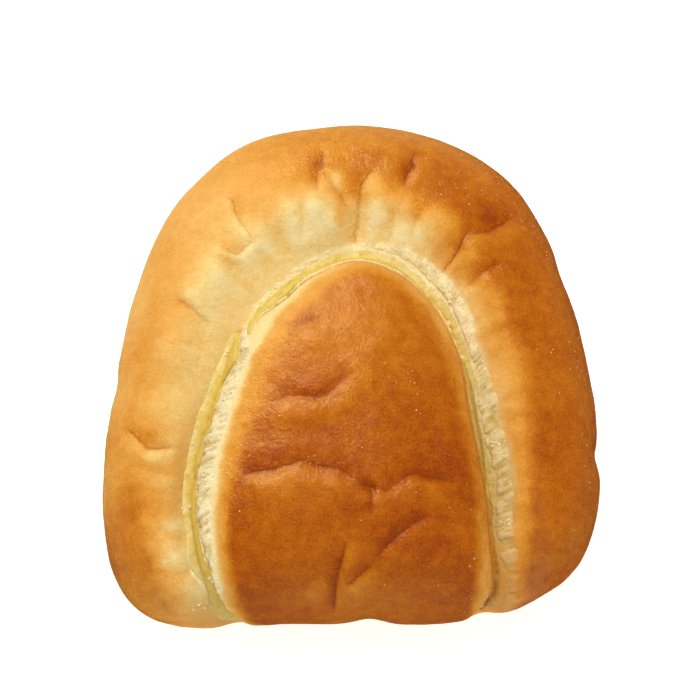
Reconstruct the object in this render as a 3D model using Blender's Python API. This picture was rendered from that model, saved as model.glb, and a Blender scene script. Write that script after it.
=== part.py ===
"""Custard bun: a folded piece of soft sweet dough with the custard layer that shows in its seam.

The dough is one solid. Its flap is joined to the base by the fold along the front, and lies on the
base as an arched cushion. The base swells into a horseshoe rim round the flap. A U-shaped seam runs
between the two, and the edge of the custard layer between them shows in it as a narrow ribbon.

Metres, +Z up, +Y towards the closed end of the arch, origin at the middle of the flat underside.
"""
import math

import bmesh
import bpy
import numpy as np

MM = 0.001

# Driving dimensions of the whole bun
BUN_WIDTH = 108.5 * MM
BUN_DEPTH = 117.0 * MM
RIM_HEIGHT = 33.5 * MM        # crown of the rim, before its sides round away
FLAP_RISE = 4.5 * MM          # how far the middle of the flap stands above that
WAIST_HEIGHT = 14.5 * MM      # the widest line round the side
FOOT_INSET = 9.0 * MM         # how far the rounded lower edge runs in under the waist
SHOULDER_EXPONENT = 5.0       # how squarely the top turns over into the side

# The custard layer and the dough round it
CUSTARD_THICKNESS = 9.0 * MM
CUSTARD_MIDDLE_HEIGHT = 14.5 * MM
RIBBON_WIDTH = 2.4 * MM       # custard that shows in the seam
RIBBON_PROUD = 0.5 * MM       # how far the ribbon stands out of the seam
RIBBON_LENGTH = 5.0 * MM      # how deep the ribbon runs before the layer widens
FOLD_THICKNESS = 11.0 * MM    # dough between the custard and the front of the bun
CLEARANCE = 0.3 * MM          # gap between custard and dough
CUT_PROUD = 3.0 * MM          # how far the cutter of the seam stands out of the dough
CUT_FRONT_GAP = 0.5 * MM      # extra gap in front of the layer's edge, inside the front fold
FRONT_TURN = math.radians(11)  # turn in which the layer's edge leaves the seam for the front fold
LAYER_PARTS = (0.3, 0.6, 0.84)   # places between the hub and the ribbon's root

# The point of the flap from which the whole outline and the whole seam are in plain sight
HUB = np.array((-0.5, -17.0)) * MM
HUB_POINT = np.array((*HUB, 0.0))

# Outline at the waist, from the middle of the back clockwise, in half widths and half depths
OUTLINE = (
    (0.00, 1.00), (0.365, 0.94), (0.645, 0.785), (0.81, 0.55), (0.91, 0.27), (0.975, -0.02),
    (1.00, -0.31), (0.99, -0.56), (0.91, -0.765), (0.76, -0.885), (0.53, -0.965), (0.18, -0.99),
    (-0.22, -0.985), (-0.545, -1.00), (-0.79, -0.965), (-0.935, -0.825), (-0.995, -0.56),
    (-0.985, -0.245), (-0.945, 0.055), (-0.875, 0.375), (-0.72, 0.685), (-0.435, 0.925),
)

# Seam from its left foot on the front, round the arch, to its right foot, in millimetres: across,
# back, and for the legs on the front wall the height (None where the seam lies on top of the bun)
SEAM = (
    (-25.5, -58.0, 9.5), (-27.4, -58.5, 13.0), (-29.6, -58.3, 18.5), (-31.8, -53.0, None),
    (-33.4, -45.5, None), (-34.5, -37.0, None), (-34.2, -28.0, None), (-32.0, -18.5, None),
    (-28.8, -8.0, None), (-26.0, 1.5, None), (-22.5, 7.5, None), (-16.5, 14.0, None),
    (-9.0, 19.0, None), (0.5, 22.0, None), (9.0, 20.0, None), (16.0, 13.8, None),
    (21.0, 6.0, None), (24.8, -3.5, None), (27.3, -15.5, None), (28.8, -28.0, None),
    (29.9, -39.5, None), (31.2, -50.5, None), (31.6, -57.0, 18.5), (30.8, -57.4, 13.0),
    (29.4, -57.5, 9.5),
)

# The groove along the seam at stations from its left foot (0) to its right foot (1):
# station, depth, width of the slope on the rim, width of the flap's round edge, in millimetres
GROOVE = (
    (0.00, 1.0, 4.0, 4.0), (0.06, 2.5, 6.0, 5.0), (0.12, 5.0, 9.0, 8.0), (0.20, 8.0, 11.0, 9.0),
    (0.42, 8.5, 13.0, 10.0), (0.56, 8.0, 14.0, 9.0), (0.72, 7.5, 10.0, 8.0), (0.86, 6.5, 8.0, 8.0),
    (0.93, 3.5, 6.0, 6.0), (1.00, 1.0, 4.0, 4.0),
)
FLAP_EDGE_ROUNDNESS = 1.7
SWELL_REACH = 24.0 * MM       # distance from the seam in which the flap rises to its crown

# Folds pressed into the crust, in millimetres: points, depth, half width, and the height of the
# bank beside the fold, on the left (+) or the right (-) of its direction
FOLDS = {
    "flap_crease_left": (((-22.5, -31.5), (-13.5, -29.6), (-4.0, -30.4), (2.6, -33.8)), 1.4, 2.1, -1.0),
    "flap_crease_right": (((3.6, -33.4), (7.5, -34.8), (13.5, -31.6), (22.5, -32.0)), 0.9, 1.9, -0.6),
    "flap_diagonal": (((14.8, -40.0), (9.5, -44.0), (3.5, -49.5)), 0.9, 1.9, 0.8),
    "flap_front": (((-0.8, -45.0), (-3.2, -51.0), (-3.8, -56.0)), 1.0, 1.9, 0.5),
    "flap_back": (((-16.0, -1.5), (-11.8, 0.4), (-7.5, 2.2)), 0.9, 2.2, -0.6),
    "rim_back_middle": (((0.8, 37.0), (1.0, 32.0), (0.8, 25.5)), 1.3, 1.9, 0.4),
    "rim_back_left": (((-7.7, 47.0), (-7.9, 41.0), (-7.4, 34.0)), 1.2, 1.9, 0.5),
    "rim_back_slant": (((-6.5, 41.0), (-3.6, 35.2), (-1.0, 30.4)), 0.9, 1.8, -0.4),
    "rim_back_right": (((15.1, 47.5), (13.3, 44.0), (12.2, 39.0)), 0.9, 1.8, 0.5),
    "rim_right_fold": (((25.6, 26.0), (23.0, 21.0), (19.8, 16.3)), 1.4, 2.0, 1.0),
    "rim_right_low": (((32.0, 18.6), (28.2, 16.5), (24.6, 14.0)), 0.9, 1.9, 0.5),
    "rim_right_long": (((24.5, 24.2), (31.4, 27.0), (37.0, 30.6)), 0.9, 1.9, -0.5),
    "rim_left_long": (((-26.7, 34.5), (-24.2, 28.2), (-21.4, 23.0)), 0.9, 1.8, -0.5),
    "rim_left_hook": (((-21.4, 23.4), (-25.0, 20.6), (-29.3, 22.9)), 0.9, 1.8, 0.5),
    "rim_left_side": (((-37.3, 9.6), (-34.4, 7.3), (-30.7, 5.0)), 0.8, 1.8, 0.4),
    "rim_left_low": (((-48.0, -19.0), (-44.3, -22.4), (-38.8, -23.0)), 0.9, 1.9, -0.6),
}

# How finely the two pieces are divided; segments come in fours, as the sphere starts on the Y axis
BUN_SEGMENTS = 112
SEAM_WEIGHT = 0.7
FLAP_RINGS = 21
FLAP_RING_GRADING = 1.25
RIM_RINGS = 20
RIM_RING_GRADING = 1.1
BASE_RINGS = 2
CUSTARD_SEGMENTS = 92
MERIDIAN_SAMPLES = 160
CURVE_SAMPLES = 720
FOLD_SAMPLES = 40

CRUST_COLOUR = (0.56, 0.23, 0.055, 1.0)
CUSTARD_COLOUR = (0.72, 0.52, 0.11, 1.0)


def smooth_step(value):
    """Ease from 0 to 1 as the value goes from 0 to 1."""
    value = np.clip(value, 0.0, 1.0)
    return value * value * (3.0 - 2.0 * value)


def unit(vectors):
    """Vectors of length 1 in the same directions."""
    return vectors / np.linalg.norm(vectors, axis=-1, keepdims=True)


def blend(start, end, weight):
    """Mix of two arrays."""
    return start * (1 - weight) + end * weight


def spline(points, samples, closed):
    """Even samples of the smooth curve through the points."""
    points = np.asarray(points, float)
    if closed:
        ring = np.vstack((points[-1], points, points[0], points[1]))
        spans = len(points)
    else:
        ring = np.vstack((2 * points[0] - points[1], points, 2 * points[-1] - points[-2]))
        spans = len(points) - 1
    place = np.linspace(0.0, spans, samples, endpoint=not closed)
    span = np.minimum(place.astype(int), spans - 1)
    t = (place - span)[:, None]
    before, start, end, after = (ring[span + k] for k in range(4))
    return 0.5 * (2 * start + (end - before) * t + (2 * before - 5 * start + 4 * end - after) * t ** 2
                  + (3 * start - before - 3 * end + after) * t ** 3)


def outline_reach(angles):
    """Distance from the hub to the outline at the waist."""
    curve = spline(OUTLINE, CURVE_SAMPLES, closed=True)
    low, high = curve.min(axis=0), curve.max(axis=0)
    away = (curve - (low + high) / 2) / (high - low) * (BUN_WIDTH, BUN_DEPTH) - HUB
    angle = np.arctan2(away[:, 1], away[:, 0])
    return np.interp(angles, angle, np.hypot(away[:, 0], away[:, 1]), period=2 * math.pi)


class Meridians:
    """Lines down the plain bun, before groove and folds: one for each angle, from top to foot."""

    def __init__(self, angles):
        self.angles = angles
        reach = outline_reach(angles)
        turn = np.linspace(0.0, math.pi / 2, MERIDIAN_SAMPLES)
        top_radius = reach[:, None] * np.sin(turn) ** (2 / SHOULDER_EXPONENT)
        top_height = WAIST_HEIGHT + (RIM_HEIGHT - WAIST_HEIGHT) * np.cos(turn)
        low_radius = reach[:, None] - FOOT_INSET * (1 - np.cos(turn[1:]))
        low_height = WAIST_HEIGHT * (1 - np.sin(turn[1:]))
        count = len(angles)
        self.radius = np.hstack((top_radius, low_radius))
        self.height = np.tile(np.concatenate((top_height, low_height)), (count, 1))
        steps = np.hypot(np.diff(self.radius), np.diff(self.height))
        self.length = np.hstack((np.zeros((count, 1)), np.cumsum(steps, axis=1)))

    def at(self, share):
        """Radius, height and outward normal (radial, up) at shares of each line's length."""
        result = []
        for k, row in enumerate(np.atleast_2d(share)):
            distance = row * self.length[k, -1]
            radius = np.interp(distance, self.length[k], self.radius[k])
            height = np.interp(distance, self.length[k], self.height[k])
            slope_radius = np.gradient(self.radius[k], self.length[k])
            slope_height = np.gradient(self.height[k], self.length[k])
            normal_out = -np.interp(distance, self.length[k], slope_height)
            normal_up = np.interp(distance, self.length[k], slope_radius)
            result.append((radius, height, normal_out, normal_up))
        return tuple(np.array(part) for part in zip(*result))

    def place(self, radius, height, out_shift=0.0, up_shift=0.0):
        """World points of radii and heights on each line."""
        radius = radius + out_shift
        x = HUB[0] + radius * np.cos(self.angles)[:, None]
        y = HUB[1] + radius * np.sin(self.angles)[:, None]
        return np.stack((x, y, height + up_shift), axis=-1)


def seam_knots():
    """Angle (falling, from the left foot) and share of the meridian of each point of the seam."""
    plan = np.array([knot[:2] for knot in SEAM]) * MM - HUB
    angle = np.unwrap(np.arctan2(plan[:, 1], plan[:, 0]))
    distance = np.hypot(plan[:, 0], plan[:, 1])
    lines = Meridians(angle)
    top = slice(0, MERIDIAN_SAMPLES)
    length = np.empty(len(SEAM))
    for k, (_, _, height) in enumerate(SEAM):
        if height is None:
            length[k] = np.interp(distance[k], lines.radius[k, top], lines.length[k, top])
        else:
            length[k] = np.interp(-height * MM, -lines.height[k], lines.length[k])
    return angle, length / lines.length[:, -1]


def seam_share(angles):
    """Share of the meridian at which the seam lies, or below the flap's front the line of its feet."""
    curve = spline(np.stack(seam_knots(), axis=-1), CURVE_SAMPLES, closed=False)
    return np.interp(angles, curve[:, 0], curve[:, 1], period=2 * math.pi)


def foot_angles():
    """Angles of the seam's right and left feet, between which lies the front without a seam."""
    feet = np.array((SEAM[0][:2], SEAM[-1][:2])) * MM - HUB
    left, right = np.arctan2(feet[:, 1], feet[:, 0]) % (2 * math.pi)
    return left, right


def seam_line():
    """Points of the seam on the plain bun, from the left foot over the arch to the right foot."""
    left, right = foot_angles()
    angles = np.linspace(left, right - 2 * math.pi, CURVE_SAMPLES)
    lines = Meridians(angles)
    radius, height, _, _ = lines.at(seam_share(angles)[:, None])
    return lines.place(radius, height)[:, 0]


def stations(line):
    """Place of each point of a line, from 0 at its start to 1 at its end."""
    steps = np.linalg.norm(np.diff(line, axis=0), axis=1)
    length = np.concatenate(((0.0,), np.cumsum(steps)))
    return length / length[-1]


def nearest_on(line, points):
    """Distance from each point to the line, and the index of the line's nearest point."""
    distance = np.linalg.norm(points[:, None, :] - line[None, :, :], axis=2)
    nearest = distance.argmin(axis=1)
    return distance[np.arange(len(points)), nearest], nearest


def groove_depth(points, on_flap):
    """Depth of the groove at points of the plain bun."""
    line = seam_line()
    distance, nearest = nearest_on(line, points)
    station = stations(line)[nearest]
    table = np.array(GROOVE)
    depth, rim_width, flap_width = (np.interp(station, table[:, 0], table[:, k]) * MM
                                    for k in (1, 2, 3))
    on_rim = 1 - smooth_step(distance / rim_width)
    inward = np.clip(1 - distance / flap_width, 0.0, 1.0)
    roundness = FLAP_EDGE_ROUNDNESS
    on_edge = 1 - (1 - inward ** roundness) ** (1 / roundness)
    return depth * np.where(on_flap, on_edge, on_rim)


def flap_swell(points, on_flap):
    """How far the flap's crown is raised at points of the plain bun, as a share of its rise."""
    distance, _ = nearest_on(seam_line(), points)
    return np.where(on_flap, smooth_step(distance / SWELL_REACH), 0.0)


def fold_relief(points):
    """Height that the folds and their banks add at points on top of the bun."""
    relief = np.zeros(len(points))
    for knots, depth, half_width, bank in FOLDS.values():
        line = spline(np.array(knots) * MM, FOLD_SAMPLES, closed=False)
        distance, nearest = nearest_on(line, points[:, :2])
        ahead = np.gradient(line, axis=0)[nearest]
        away = points[:, :2] - line[nearest]
        side = np.sign(ahead[:, 0] * away[:, 1] - ahead[:, 1] * away[:, 0]) * np.sign(bank)
        half_width = half_width * MM
        bank_shape = np.exp(-((distance - 2 * half_width) / half_width) ** 2) * (side > 0)
        relief += MM * (abs(bank) * bank_shape - depth * np.exp(-(distance / half_width) ** 2))
    return relief


def ring_points(angles, share, on_flap):
    """World points of the dough's surface at shares of each meridian."""
    lines = Meridians(angles)
    radius, height, normal_out, normal_up = lines.at(share)
    plain = lines.place(radius, height).reshape(-1, 3)
    flat_flap = on_flap.reshape(-1)
    above = np.clip((height - WAIST_HEIGHT) / (RIM_HEIGHT - WAIST_HEIGHT), 0.0, 1.0)
    depth = groove_depth(plain, flat_flap).reshape(radius.shape)
    swell = flap_swell(plain, flat_flap).reshape(radius.shape) * FLAP_RISE * above
    folds = fold_relief(plain).reshape(radius.shape) * above
    return lines.place(radius, height, -depth * normal_out, swell + folds - depth * normal_up)


def segment_angles(count):
    """Angles of the segments, spread along the seam and, with less weight, along the outline."""
    dense = np.linspace(0.0, 2 * math.pi, 4 * CURVE_SAMPLES)
    lines = Meridians(dense)
    radius, height, _, _ = lines.at(seam_share(dense)[:, None])
    seam = stations(lines.place(radius, height)[:, 0])
    outline = stations(lines.place(outline_reach(dense)[:, None], np.zeros((len(dense), 1)))[:, 0])
    place = blend(outline, seam, SEAM_WEIGHT)
    return np.interp(np.arange(count) / count, place, dense)


def sphere_object(name, points, top, bottom, diagonals):
    """A sphere whose vertices are moved to the given points, one row for each of its segments."""
    segments, rings, _ = points.shape
    mesh = bpy.data.meshes.new(name)
    ball = bmesh.new()
    bmesh.ops.create_uvsphere(ball, u_segments=segments, v_segments=rings + 1, radius=1.0)
    for vertex in ball.verts:
        direction = vertex.co.normalized()
        ring = round(math.acos(max(-1.0, min(1.0, direction.z))) / math.pi * (rings + 1)) - 1
        if ring < 0:
            vertex.co = top
        elif ring >= rings:
            vertex.co = bottom
        else:
            turn = math.atan2(direction.y, direction.x) / (2 * math.pi)
            vertex.co = points[round(turn * segments) % segments][ring]
    bmesh.ops.triangulate(ball, faces=ball.faces, quad_method=diagonals)
    bmesh.ops.recalc_face_normals(ball, faces=ball.faces)
    ball.to_mesh(mesh)
    ball.free()
    mesh.shade_smooth()
    return bpy.data.objects.new(name, mesh)


def dough_object():
    """The plain closed dough: flap, seam groove, rim, side wall and flat underside."""
    angles = segment_angles(BUN_SEGMENTS)
    seam = seam_share(angles)[:, None]
    flap_place = np.arange(1, FLAP_RINGS + 1) / FLAP_RINGS
    flap = seam * (1 - (1 - flap_place) ** FLAP_RING_GRADING)
    rim_place = np.arange(1, RIM_RINGS + 1) / RIM_RINGS
    rim = seam + (1 - seam) * rim_place ** RIM_RING_GRADING
    share = np.hstack((flap, rim))
    on_flap = np.zeros(share.shape, bool)
    on_flap[:, :FLAP_RINGS] = True
    surface = ring_points(angles, share, on_flap)
    foot = surface[:, -1:]
    foot[:, :, 2] = 0.0
    inward = np.arange(1, BASE_RINGS + 1)[None, :, None] / (BASE_RINGS + 1)
    base = foot + (HUB_POINT - foot) * inward
    points = np.concatenate((surface, base), axis=1)
    top = (HUB[0], HUB[1], RIM_HEIGHT + FLAP_RISE)
    return sphere_object("bun", points, top, HUB_POINT, diagonals="BEAUTY")


def front_weight(angles):
    """1 where the custard ends inside the front fold, 0 where it shows in the seam."""
    left, right = foot_angles()
    away = np.abs((angles - (left + right) / 2 + math.pi) % (2 * math.pi) - math.pi)
    return smooth_step(((right - left) / 2 - away) / FRONT_TURN)[:, None]


def custard_points(angles, tips, clearance):
    """World points of the custard layer, ring by ring: top side, ribbon or front edge, underside.

    Each tip is how far the edge stands out in the seam, and inside the front fold.
    """
    outward = np.stack((np.cos(angles), np.sin(angles), np.zeros(len(angles))), axis=-1)
    lines = Meridians(angles)
    share = seam_share(angles)[:, None]
    _, _, normal_out, normal_up = lines.at(share)
    normal = outward * normal_out + np.array((0.0, 0.0, 1.0)) * normal_up
    seam = ring_points(angles, share, np.zeros(share.shape, bool))[:, 0]
    along = unit(np.roll(seam, -1, axis=0) - np.roll(seam, 1, axis=0))
    away = unit(np.cross(along, normal))

    inside = HUB_POINT + outward * (outline_reach(angles)[:, None] - FOLD_THICKNESS)
    inside[:, 2] = CUSTARD_MIDDLE_HEIGHT
    front = front_weight(angles)
    edge = blend(seam + away * RIBBON_WIDTH / 2, inside, front)
    normal = unit(blend(normal, outward, front))
    away = unit(blend(away, np.array((0.0, 0.0, -1.0)), front))

    reach = [normal * (blend(in_seam, in_fold, front) + clearance) for in_seam, in_fold in tips]
    root = edge - normal * RIBBON_LENGTH
    half_ribbon = away * (RIBBON_WIDTH / 2 + clearance)
    upper = [edge + step - half_ribbon for step in reach]
    lower = [edge + step + half_ribbon for step in reversed(reach)]
    middle = HUB_POINT + np.array((0.0, 0.0, CUSTARD_MIDDLE_HEIGHT))
    level = root.copy()
    level[:, 2] = CUSTARD_MIDDLE_HEIGHT
    half_layer = np.array((0.0, 0.0, CUSTARD_THICKNESS / 2 + clearance))
    top_side = [middle + (level - middle) * part + half_layer for part in LAYER_PARTS]
    underside = [middle + (level - middle) * part - half_layer for part in reversed(LAYER_PARTS)]
    corner = normal * clearance
    rings = (*top_side, root - half_ribbon + corner, *upper, *lower, root + half_ribbon - corner,
             *underside)
    return np.stack(rings, axis=1), middle + half_layer, middle - half_layer


def custard_object(name, tips, clearance):
    """The custard layer with the tips of its edge, grown by a clearance."""
    points, top, bottom = custard_points(segment_angles(CUSTARD_SEGMENTS), tips, clearance)
    return sphere_object(name, points, top, bottom, diagonals="FIXED")


def surface_material(name, colour, roughness):
    """A plain Principled material of one colour."""
    material = bpy.data.materials.new(name)
    material.use_nodes = True
    shader = material.node_tree.nodes["Principled BSDF"]
    shader.inputs["Base Color"].default_value = colour
    shader.inputs["Roughness"].default_value = roughness
    shader.inputs["Metallic"].default_value = 0.0
    material.diffuse_color = colour
    return material


def collection(name):
    """A new collection in the scene."""
    made = bpy.data.collections.new(name)
    bpy.context.scene.collection.children.link(made)
    return made


def cut(piece, cutter):
    """Take the cutter's room out of the piece."""
    cutter.hide_render = True
    cutter.display_type = "WIRE"
    modifier = piece.modifiers.new("room_for_custard", "BOOLEAN")
    modifier.operation = "DIFFERENCE"
    modifier.solver = "EXACT"
    modifier.object = cutter


def main():
    for existing in list(bpy.data.objects):
        bpy.data.objects.remove(existing, do_unlink=True)
    parts = collection("custard_bun")
    cutters = collection("cutters")

    bun = dough_object()
    bun.data.materials.append(surface_material("baked_crust", CRUST_COLOUR, 0.5))
    parts.objects.link(bun)

    custard_tip = (RIBBON_PROUD, 0.0)
    custard = custard_object("custard", (custard_tip,), clearance=0.0)
    custard.data.materials.append(surface_material("custard", CUSTARD_COLOUR, 0.4))
    parts.objects.link(custard)

    room = custard_object("custard_room", (custard_tip, (CUT_PROUD, CUT_FRONT_GAP)), CLEARANCE)
    cutters.objects.link(room)
    cut(bun, room)


main()
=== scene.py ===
"""Looks of the custard bun: crust, torn crumb, custard ribbon, floor, light and camera.

Metres, +Z up, +Y towards the closed end of the arch, origin at the middle of the flat underside.
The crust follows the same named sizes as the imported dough, only finer. Along the seam every place is
told by its station, from 0 at the left foot over the arch to 1 at the right foot, and by its offset
across the seam in millimetres, minus on the flap's side and plus on the rim's side.
"""

import math

import bmesh
import bpy
import numpy as np
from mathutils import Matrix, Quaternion, Vector
from mathutils.bvhtree import BVHTree


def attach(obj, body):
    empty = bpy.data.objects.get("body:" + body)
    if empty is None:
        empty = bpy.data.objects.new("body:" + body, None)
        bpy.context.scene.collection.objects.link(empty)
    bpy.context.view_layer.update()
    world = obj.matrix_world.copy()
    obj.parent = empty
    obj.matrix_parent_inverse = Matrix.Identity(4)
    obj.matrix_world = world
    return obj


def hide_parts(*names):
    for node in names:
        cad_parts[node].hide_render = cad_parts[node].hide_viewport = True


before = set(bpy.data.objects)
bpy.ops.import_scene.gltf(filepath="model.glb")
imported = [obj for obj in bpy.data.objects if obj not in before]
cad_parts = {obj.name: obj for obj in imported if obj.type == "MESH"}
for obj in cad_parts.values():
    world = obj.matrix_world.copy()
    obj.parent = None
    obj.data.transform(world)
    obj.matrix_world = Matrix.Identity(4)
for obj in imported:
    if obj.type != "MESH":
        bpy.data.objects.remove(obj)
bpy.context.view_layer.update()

MM = 0.001
FULL_TURN = 2 * math.pi

# Driving dimensions of the whole bun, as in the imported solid
BUN_WIDTH = 108.5 * MM
BUN_DEPTH = 117 * MM
RIM_HEIGHT = 33.5 * MM
FLAP_RISE = 4.5 * MM
WAIST_HEIGHT = 14.5 * MM
FOOT_INSET = 9 * MM
CALM_FOOT = 4 * MM
SHOULDER_EXPONENT = 5.0
FLAP_EDGE_ROUNDNESS = 1.7
SWELL_REACH = 24 * MM
MIDDLE_ROUNDING = 12 * MM
HUB = np.array((-0.5, -17.0)) * MM
SEAM_LENGTH = 190 * MM

# Outline at the waist, from the middle of the back clockwise, in half widths and half depths
OUTLINE = (
    (0, 1), (0.365, 0.94), (0.645, 0.785), (0.81, 0.55), (0.91, 0.27), (0.975, -0.02), (1, -0.31),
    (0.99, -0.56), (0.91, -0.765), (0.76, -0.885), (0.53, -0.965), (0.18, -0.99), (-0.22, -0.985),
    (-0.545, -1), (-0.79, -0.965), (-0.935, -0.825), (-0.995, -0.56), (-0.985, -0.245), (-0.945, 0.055),
    (-0.875, 0.375), (-0.72, 0.685), (-0.435, 0.925),
)

# Seam in millimetres: across, back, and for the legs on the front wall the height
SEAM = (
    (-25.5, -58, 9.5), (-27.4, -58.5, 13), (-29.6, -58.3, 18.5), (-31.8, -53, None), (-33.4, -45.5, None),
    (-34.5, -37, None), (-34.2, -28, None), (-32, -18.5, None), (-28.8, -8, None), (-26, 1.5, None),
    (-22.5, 7.5, None), (-16.5, 14, None), (-9, 19, None), (0.5, 22, None), (9, 20, None), (16, 13.8, None),
    (21, 6, None), (24.8, -3.5, None), (27.3, -15.5, None), (28.8, -28, None), (29.9, -39.5, None),
    (31.2, -50.5, None), (31.6, -57, 18.5), (30.8, -57.4, 13), (29.4, -57.5, 9.5),
)

# Station, depth of the groove, width of the slope on the rim, width of the flap's round edge
GROOVE = (
    (0, 1, 4, 4), (0.06, 2.5, 6, 5), (0.12, 5, 9, 8), (0.2, 8, 11, 9), (0.42, 8.5, 13, 10),
    (0.56, 8, 14, 9), (0.72, 7.5, 10, 8), (0.86, 6.5, 8, 8), (0.93, 3.5, 6, 6), (1, 1, 4, 4),
)

# Folds in millimetres: points, depth, half width of the open side and of the steep side, and the
# height of the lip beyond the steep side, which is the left (+) or right (-) of the direction
FOLDS = {
    "flap_crease_left": (
        ((-22.9, -32), (-21.2, -31), (-17.1, -30.7), (-13.8, -29.4), (-8.8, -29.2), (-4, -30.3),
         (-0.5, -31.6), (2.6, -33.8)), 0.85, 2.4, 1.9, -0.47),
    "flap_crease_right": (
        ((0.6, -33), (3.6, -33.9), (6.9, -34.9), (8.8, -33.4), (13.2, -31.5), (18.4, -32.1), (23.6, -32)),
        0.7, 2.2, 1.7, -0.38),
    "flap_crease_knot": (((1.5, -32), (4.3, -34.3), (4.4, -37), (4, -40.4)), 0.6, 1.3, 0.8, 0.3),
    "flap_diagonal": (
        ((16.6, -39), (13.4, -41.5), (11.8, -42.6), (8, -45.6), (3.4, -50.4)), 0.9, 1.4, 1.1, 0.3),
    "flap_front": (((-0.6, -44.5), (-3, -51.8), (-3.8, -58)), 0.9, 1.8, 1, 0.4),
    "flap_dimple": (((-13.6, -0.6), (-12, 1), (-8.8, 2.8), (-5, 4.2)), 0.35, 1.6, 2, -0.3),
    "flap_wave": (
        ((-19.6, -15.6), (-15.9, -15.2), (-12.7, -14.6), (-8.7, -14.6), (-6.2, -14.6), (-3.5, -13.2),
         (-1.9, -11), (-2, -8.6), (-3.6, -6.4)), 0.4, 1.6, 1.9, -0.46),
    "flap_low_left": (((-6, -51), (-8.4, -52.6), (-10.8, -54.4)), 0.5, 1.4, 1, 0.5),
    "flap_low_right": (((4.6, -49.4), (1.6, -51.6), (-1.6, -53.6)), 0.8, 1.8, 1, 0.7),
    "pleat_left": (((-11.4, 32.5), (-10.6, 28.2), (-11.3, 24.6)), 0.5, 1.8, 1.3, 0.45),
    "pleat_middle": (((-6.8, 31), (-6, 27.7), (-4.5, 25)), 0.3, 1.3, 1.2, 0.25),
    "pleat_far_left": (((-15.6, 29), (-14.8, 25), (-13.4, 21.6)), 0.35, 1.6, 1.3, 0.4),
    "pleat_right": (((9.2, 32.5), (9.2, 28.4), (8.1, 24.6)), 0.6, 1.8, 1.3, 0.65),
    "pleat_far_right": (((15.4, 30.4), (13.8, 27.1), (13, 23)), 0.5, 1.6, 1.3, 0.5),
    "rim_back_middle": (
        ((5.6, 42.5), (3.4, 38.6), (1.8, 34.8), (1.4, 30.8), (1, 26.6), (1, 22.6)), 0.9, 2.4, 1.7, 0.3),
    "rim_back_left": (((-6.6, 47), (-6.4, 43), (-7.6, 39), (-7.8, 34.4)), 0.8, 1.4, 0.9, 0.15),
    "rim_back_slant": (((-6.8, 42.6), (-4, 36.4), (-0.9, 31.8), (0.6, 28.6)), 0.7, 1.3, 0.8, 0.15),
    "rim_back_right": (
        ((16, 47.6), (14.4, 46), (13.6, 44), (14.2, 42.6), (13.2, 40.8), (12.2, 38.4), (12, 35.6)),
        0.9, 1.5, 1, 0.2),
    "rim_right_fold": (((25.6, 27), (24.8, 24), (23.4, 21.4), (20.2, 17.4), (16.4, 15)), 1, 2, 1.2, 0.3),
    "rim_right_low": (((33.4, 18.4), (30.4, 17.2), (27.2, 14.6), (24.2, 13.2)), 0.7, 1.8, 1.3, 0.25),
    "rim_right_long": (((23.6, 24), (28.2, 25.4), (31.6, 27.2), (37, 31.2)), 0.8, 2.4, 1.4, -0.3),
    "rim_left_long": (
        ((-28.2, 36), (-26, 32.8), (-25, 29), (-22.6, 25.2), (-20.6, 22.8)), 0.8, 1.5, 0.6, -0.35),
    "rim_left_hook": (((-20.6, 23.8), (-23.6, 21.7), (-25.3, 20.5), (-29.8, 23.2)), 0.8, 1.4, 0.7, 0.35),
    "rim_left_brow": (((-31.4, 20.8), (-28.4, 18.9), (-25.4, 18.4), (-22.8, 19.6)), 0.5, 1.3, 0.8, 0.2),
    "rim_left_short": (((-21.4, 22.2), (-18.6, 20.9), (-16, 18.8)), 0.5, 1.1, 0.6, 0.3),
    "rim_left_side": (((-38.3, 10.2), (-34.4, 7.3), (-29.9, 4.6)), 0.8, 1.6, 0.9, 0.35),
    "rim_left_low": (
        ((-48.6, -17.8), (-46.2, -20.4), (-44.3, -22.6), (-42.4, -23.8), (-37.8, -22.6)),
        1.1, 1.9, 1.2, -0.5),
    "rim_left_low_second": (((-46, -27.2), (-42, -28.6), (-37.5, -29.4)), 0.4, 1.5, 1.3, -0.2),
    "rim_front_upper": (((-41.5, -40.6), (-38.6, -42.4), (-35.4, -43.4)), 0.5, 1.4, 1.2, 0.3),
    "rim_front_lower": (((-43, -48), (-38.6, -50.2), (-34, -50.6)), 0.6, 1.6, 1.4, 0.35),
}
# Share of a fold's length over which it fades in and out, and how far across a fold or crack, in
# millimetres, its dark line of painted shade is told at all and told fully
TAPER = 0.2
LINE_REACH = 1.5
LINE_FULL = 0.7

# Low bumps (+) and dents (-) of the crust: across, back, half width, height, in millimetres
SWELLS = (
    (-8.6, -2.4, 3.6, 0.24), (8, 0, 4, 0.3), (-14.2, -18, 2.6, 0.26), (-6.8, -17.6, 2.4, 0.26),
    (-1, -13.2, 2.2, 0.26), (-4.2, -5.4, 2.8, -0.25), (5.4, -4, 2.6, 0.24), (-16, -8, 4, 0.25),
    (6, -14, 5, -0.35), (-8, -24, 5, -0.35), (15, -22, 5, -0.3), (-10, -41, 6, 0.3), (8, -38, 4, -0.35),
    (16, -48, 6, 0.4), (-16, -52, 5, -0.25), (-10, -52.6, 2.6, 0.45), (7.5, 31, 4.5, 0.7),
    (-3.4, 38.6, 2.4, 0.5), (-4, 28, 3.2, 0.5), (18.5, 27, 4.5, 0.5), (-13.5, 33, 5.5, 0.5),
    (11, 23, 3, 0.4), (-40, 0, 6, 0.4), (-43, -12, 6, -0.4), (-44, 15, 6, 0.3), (44, -5, 7, 0.3),
    (43, -25, 7, -0.3), (40, 12, 5, -0.3), (-36, 24, 5, -0.35), (36.6, -35.6, 2.2, 0.6), (-40, -34, 5, 0.3),
)

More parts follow.
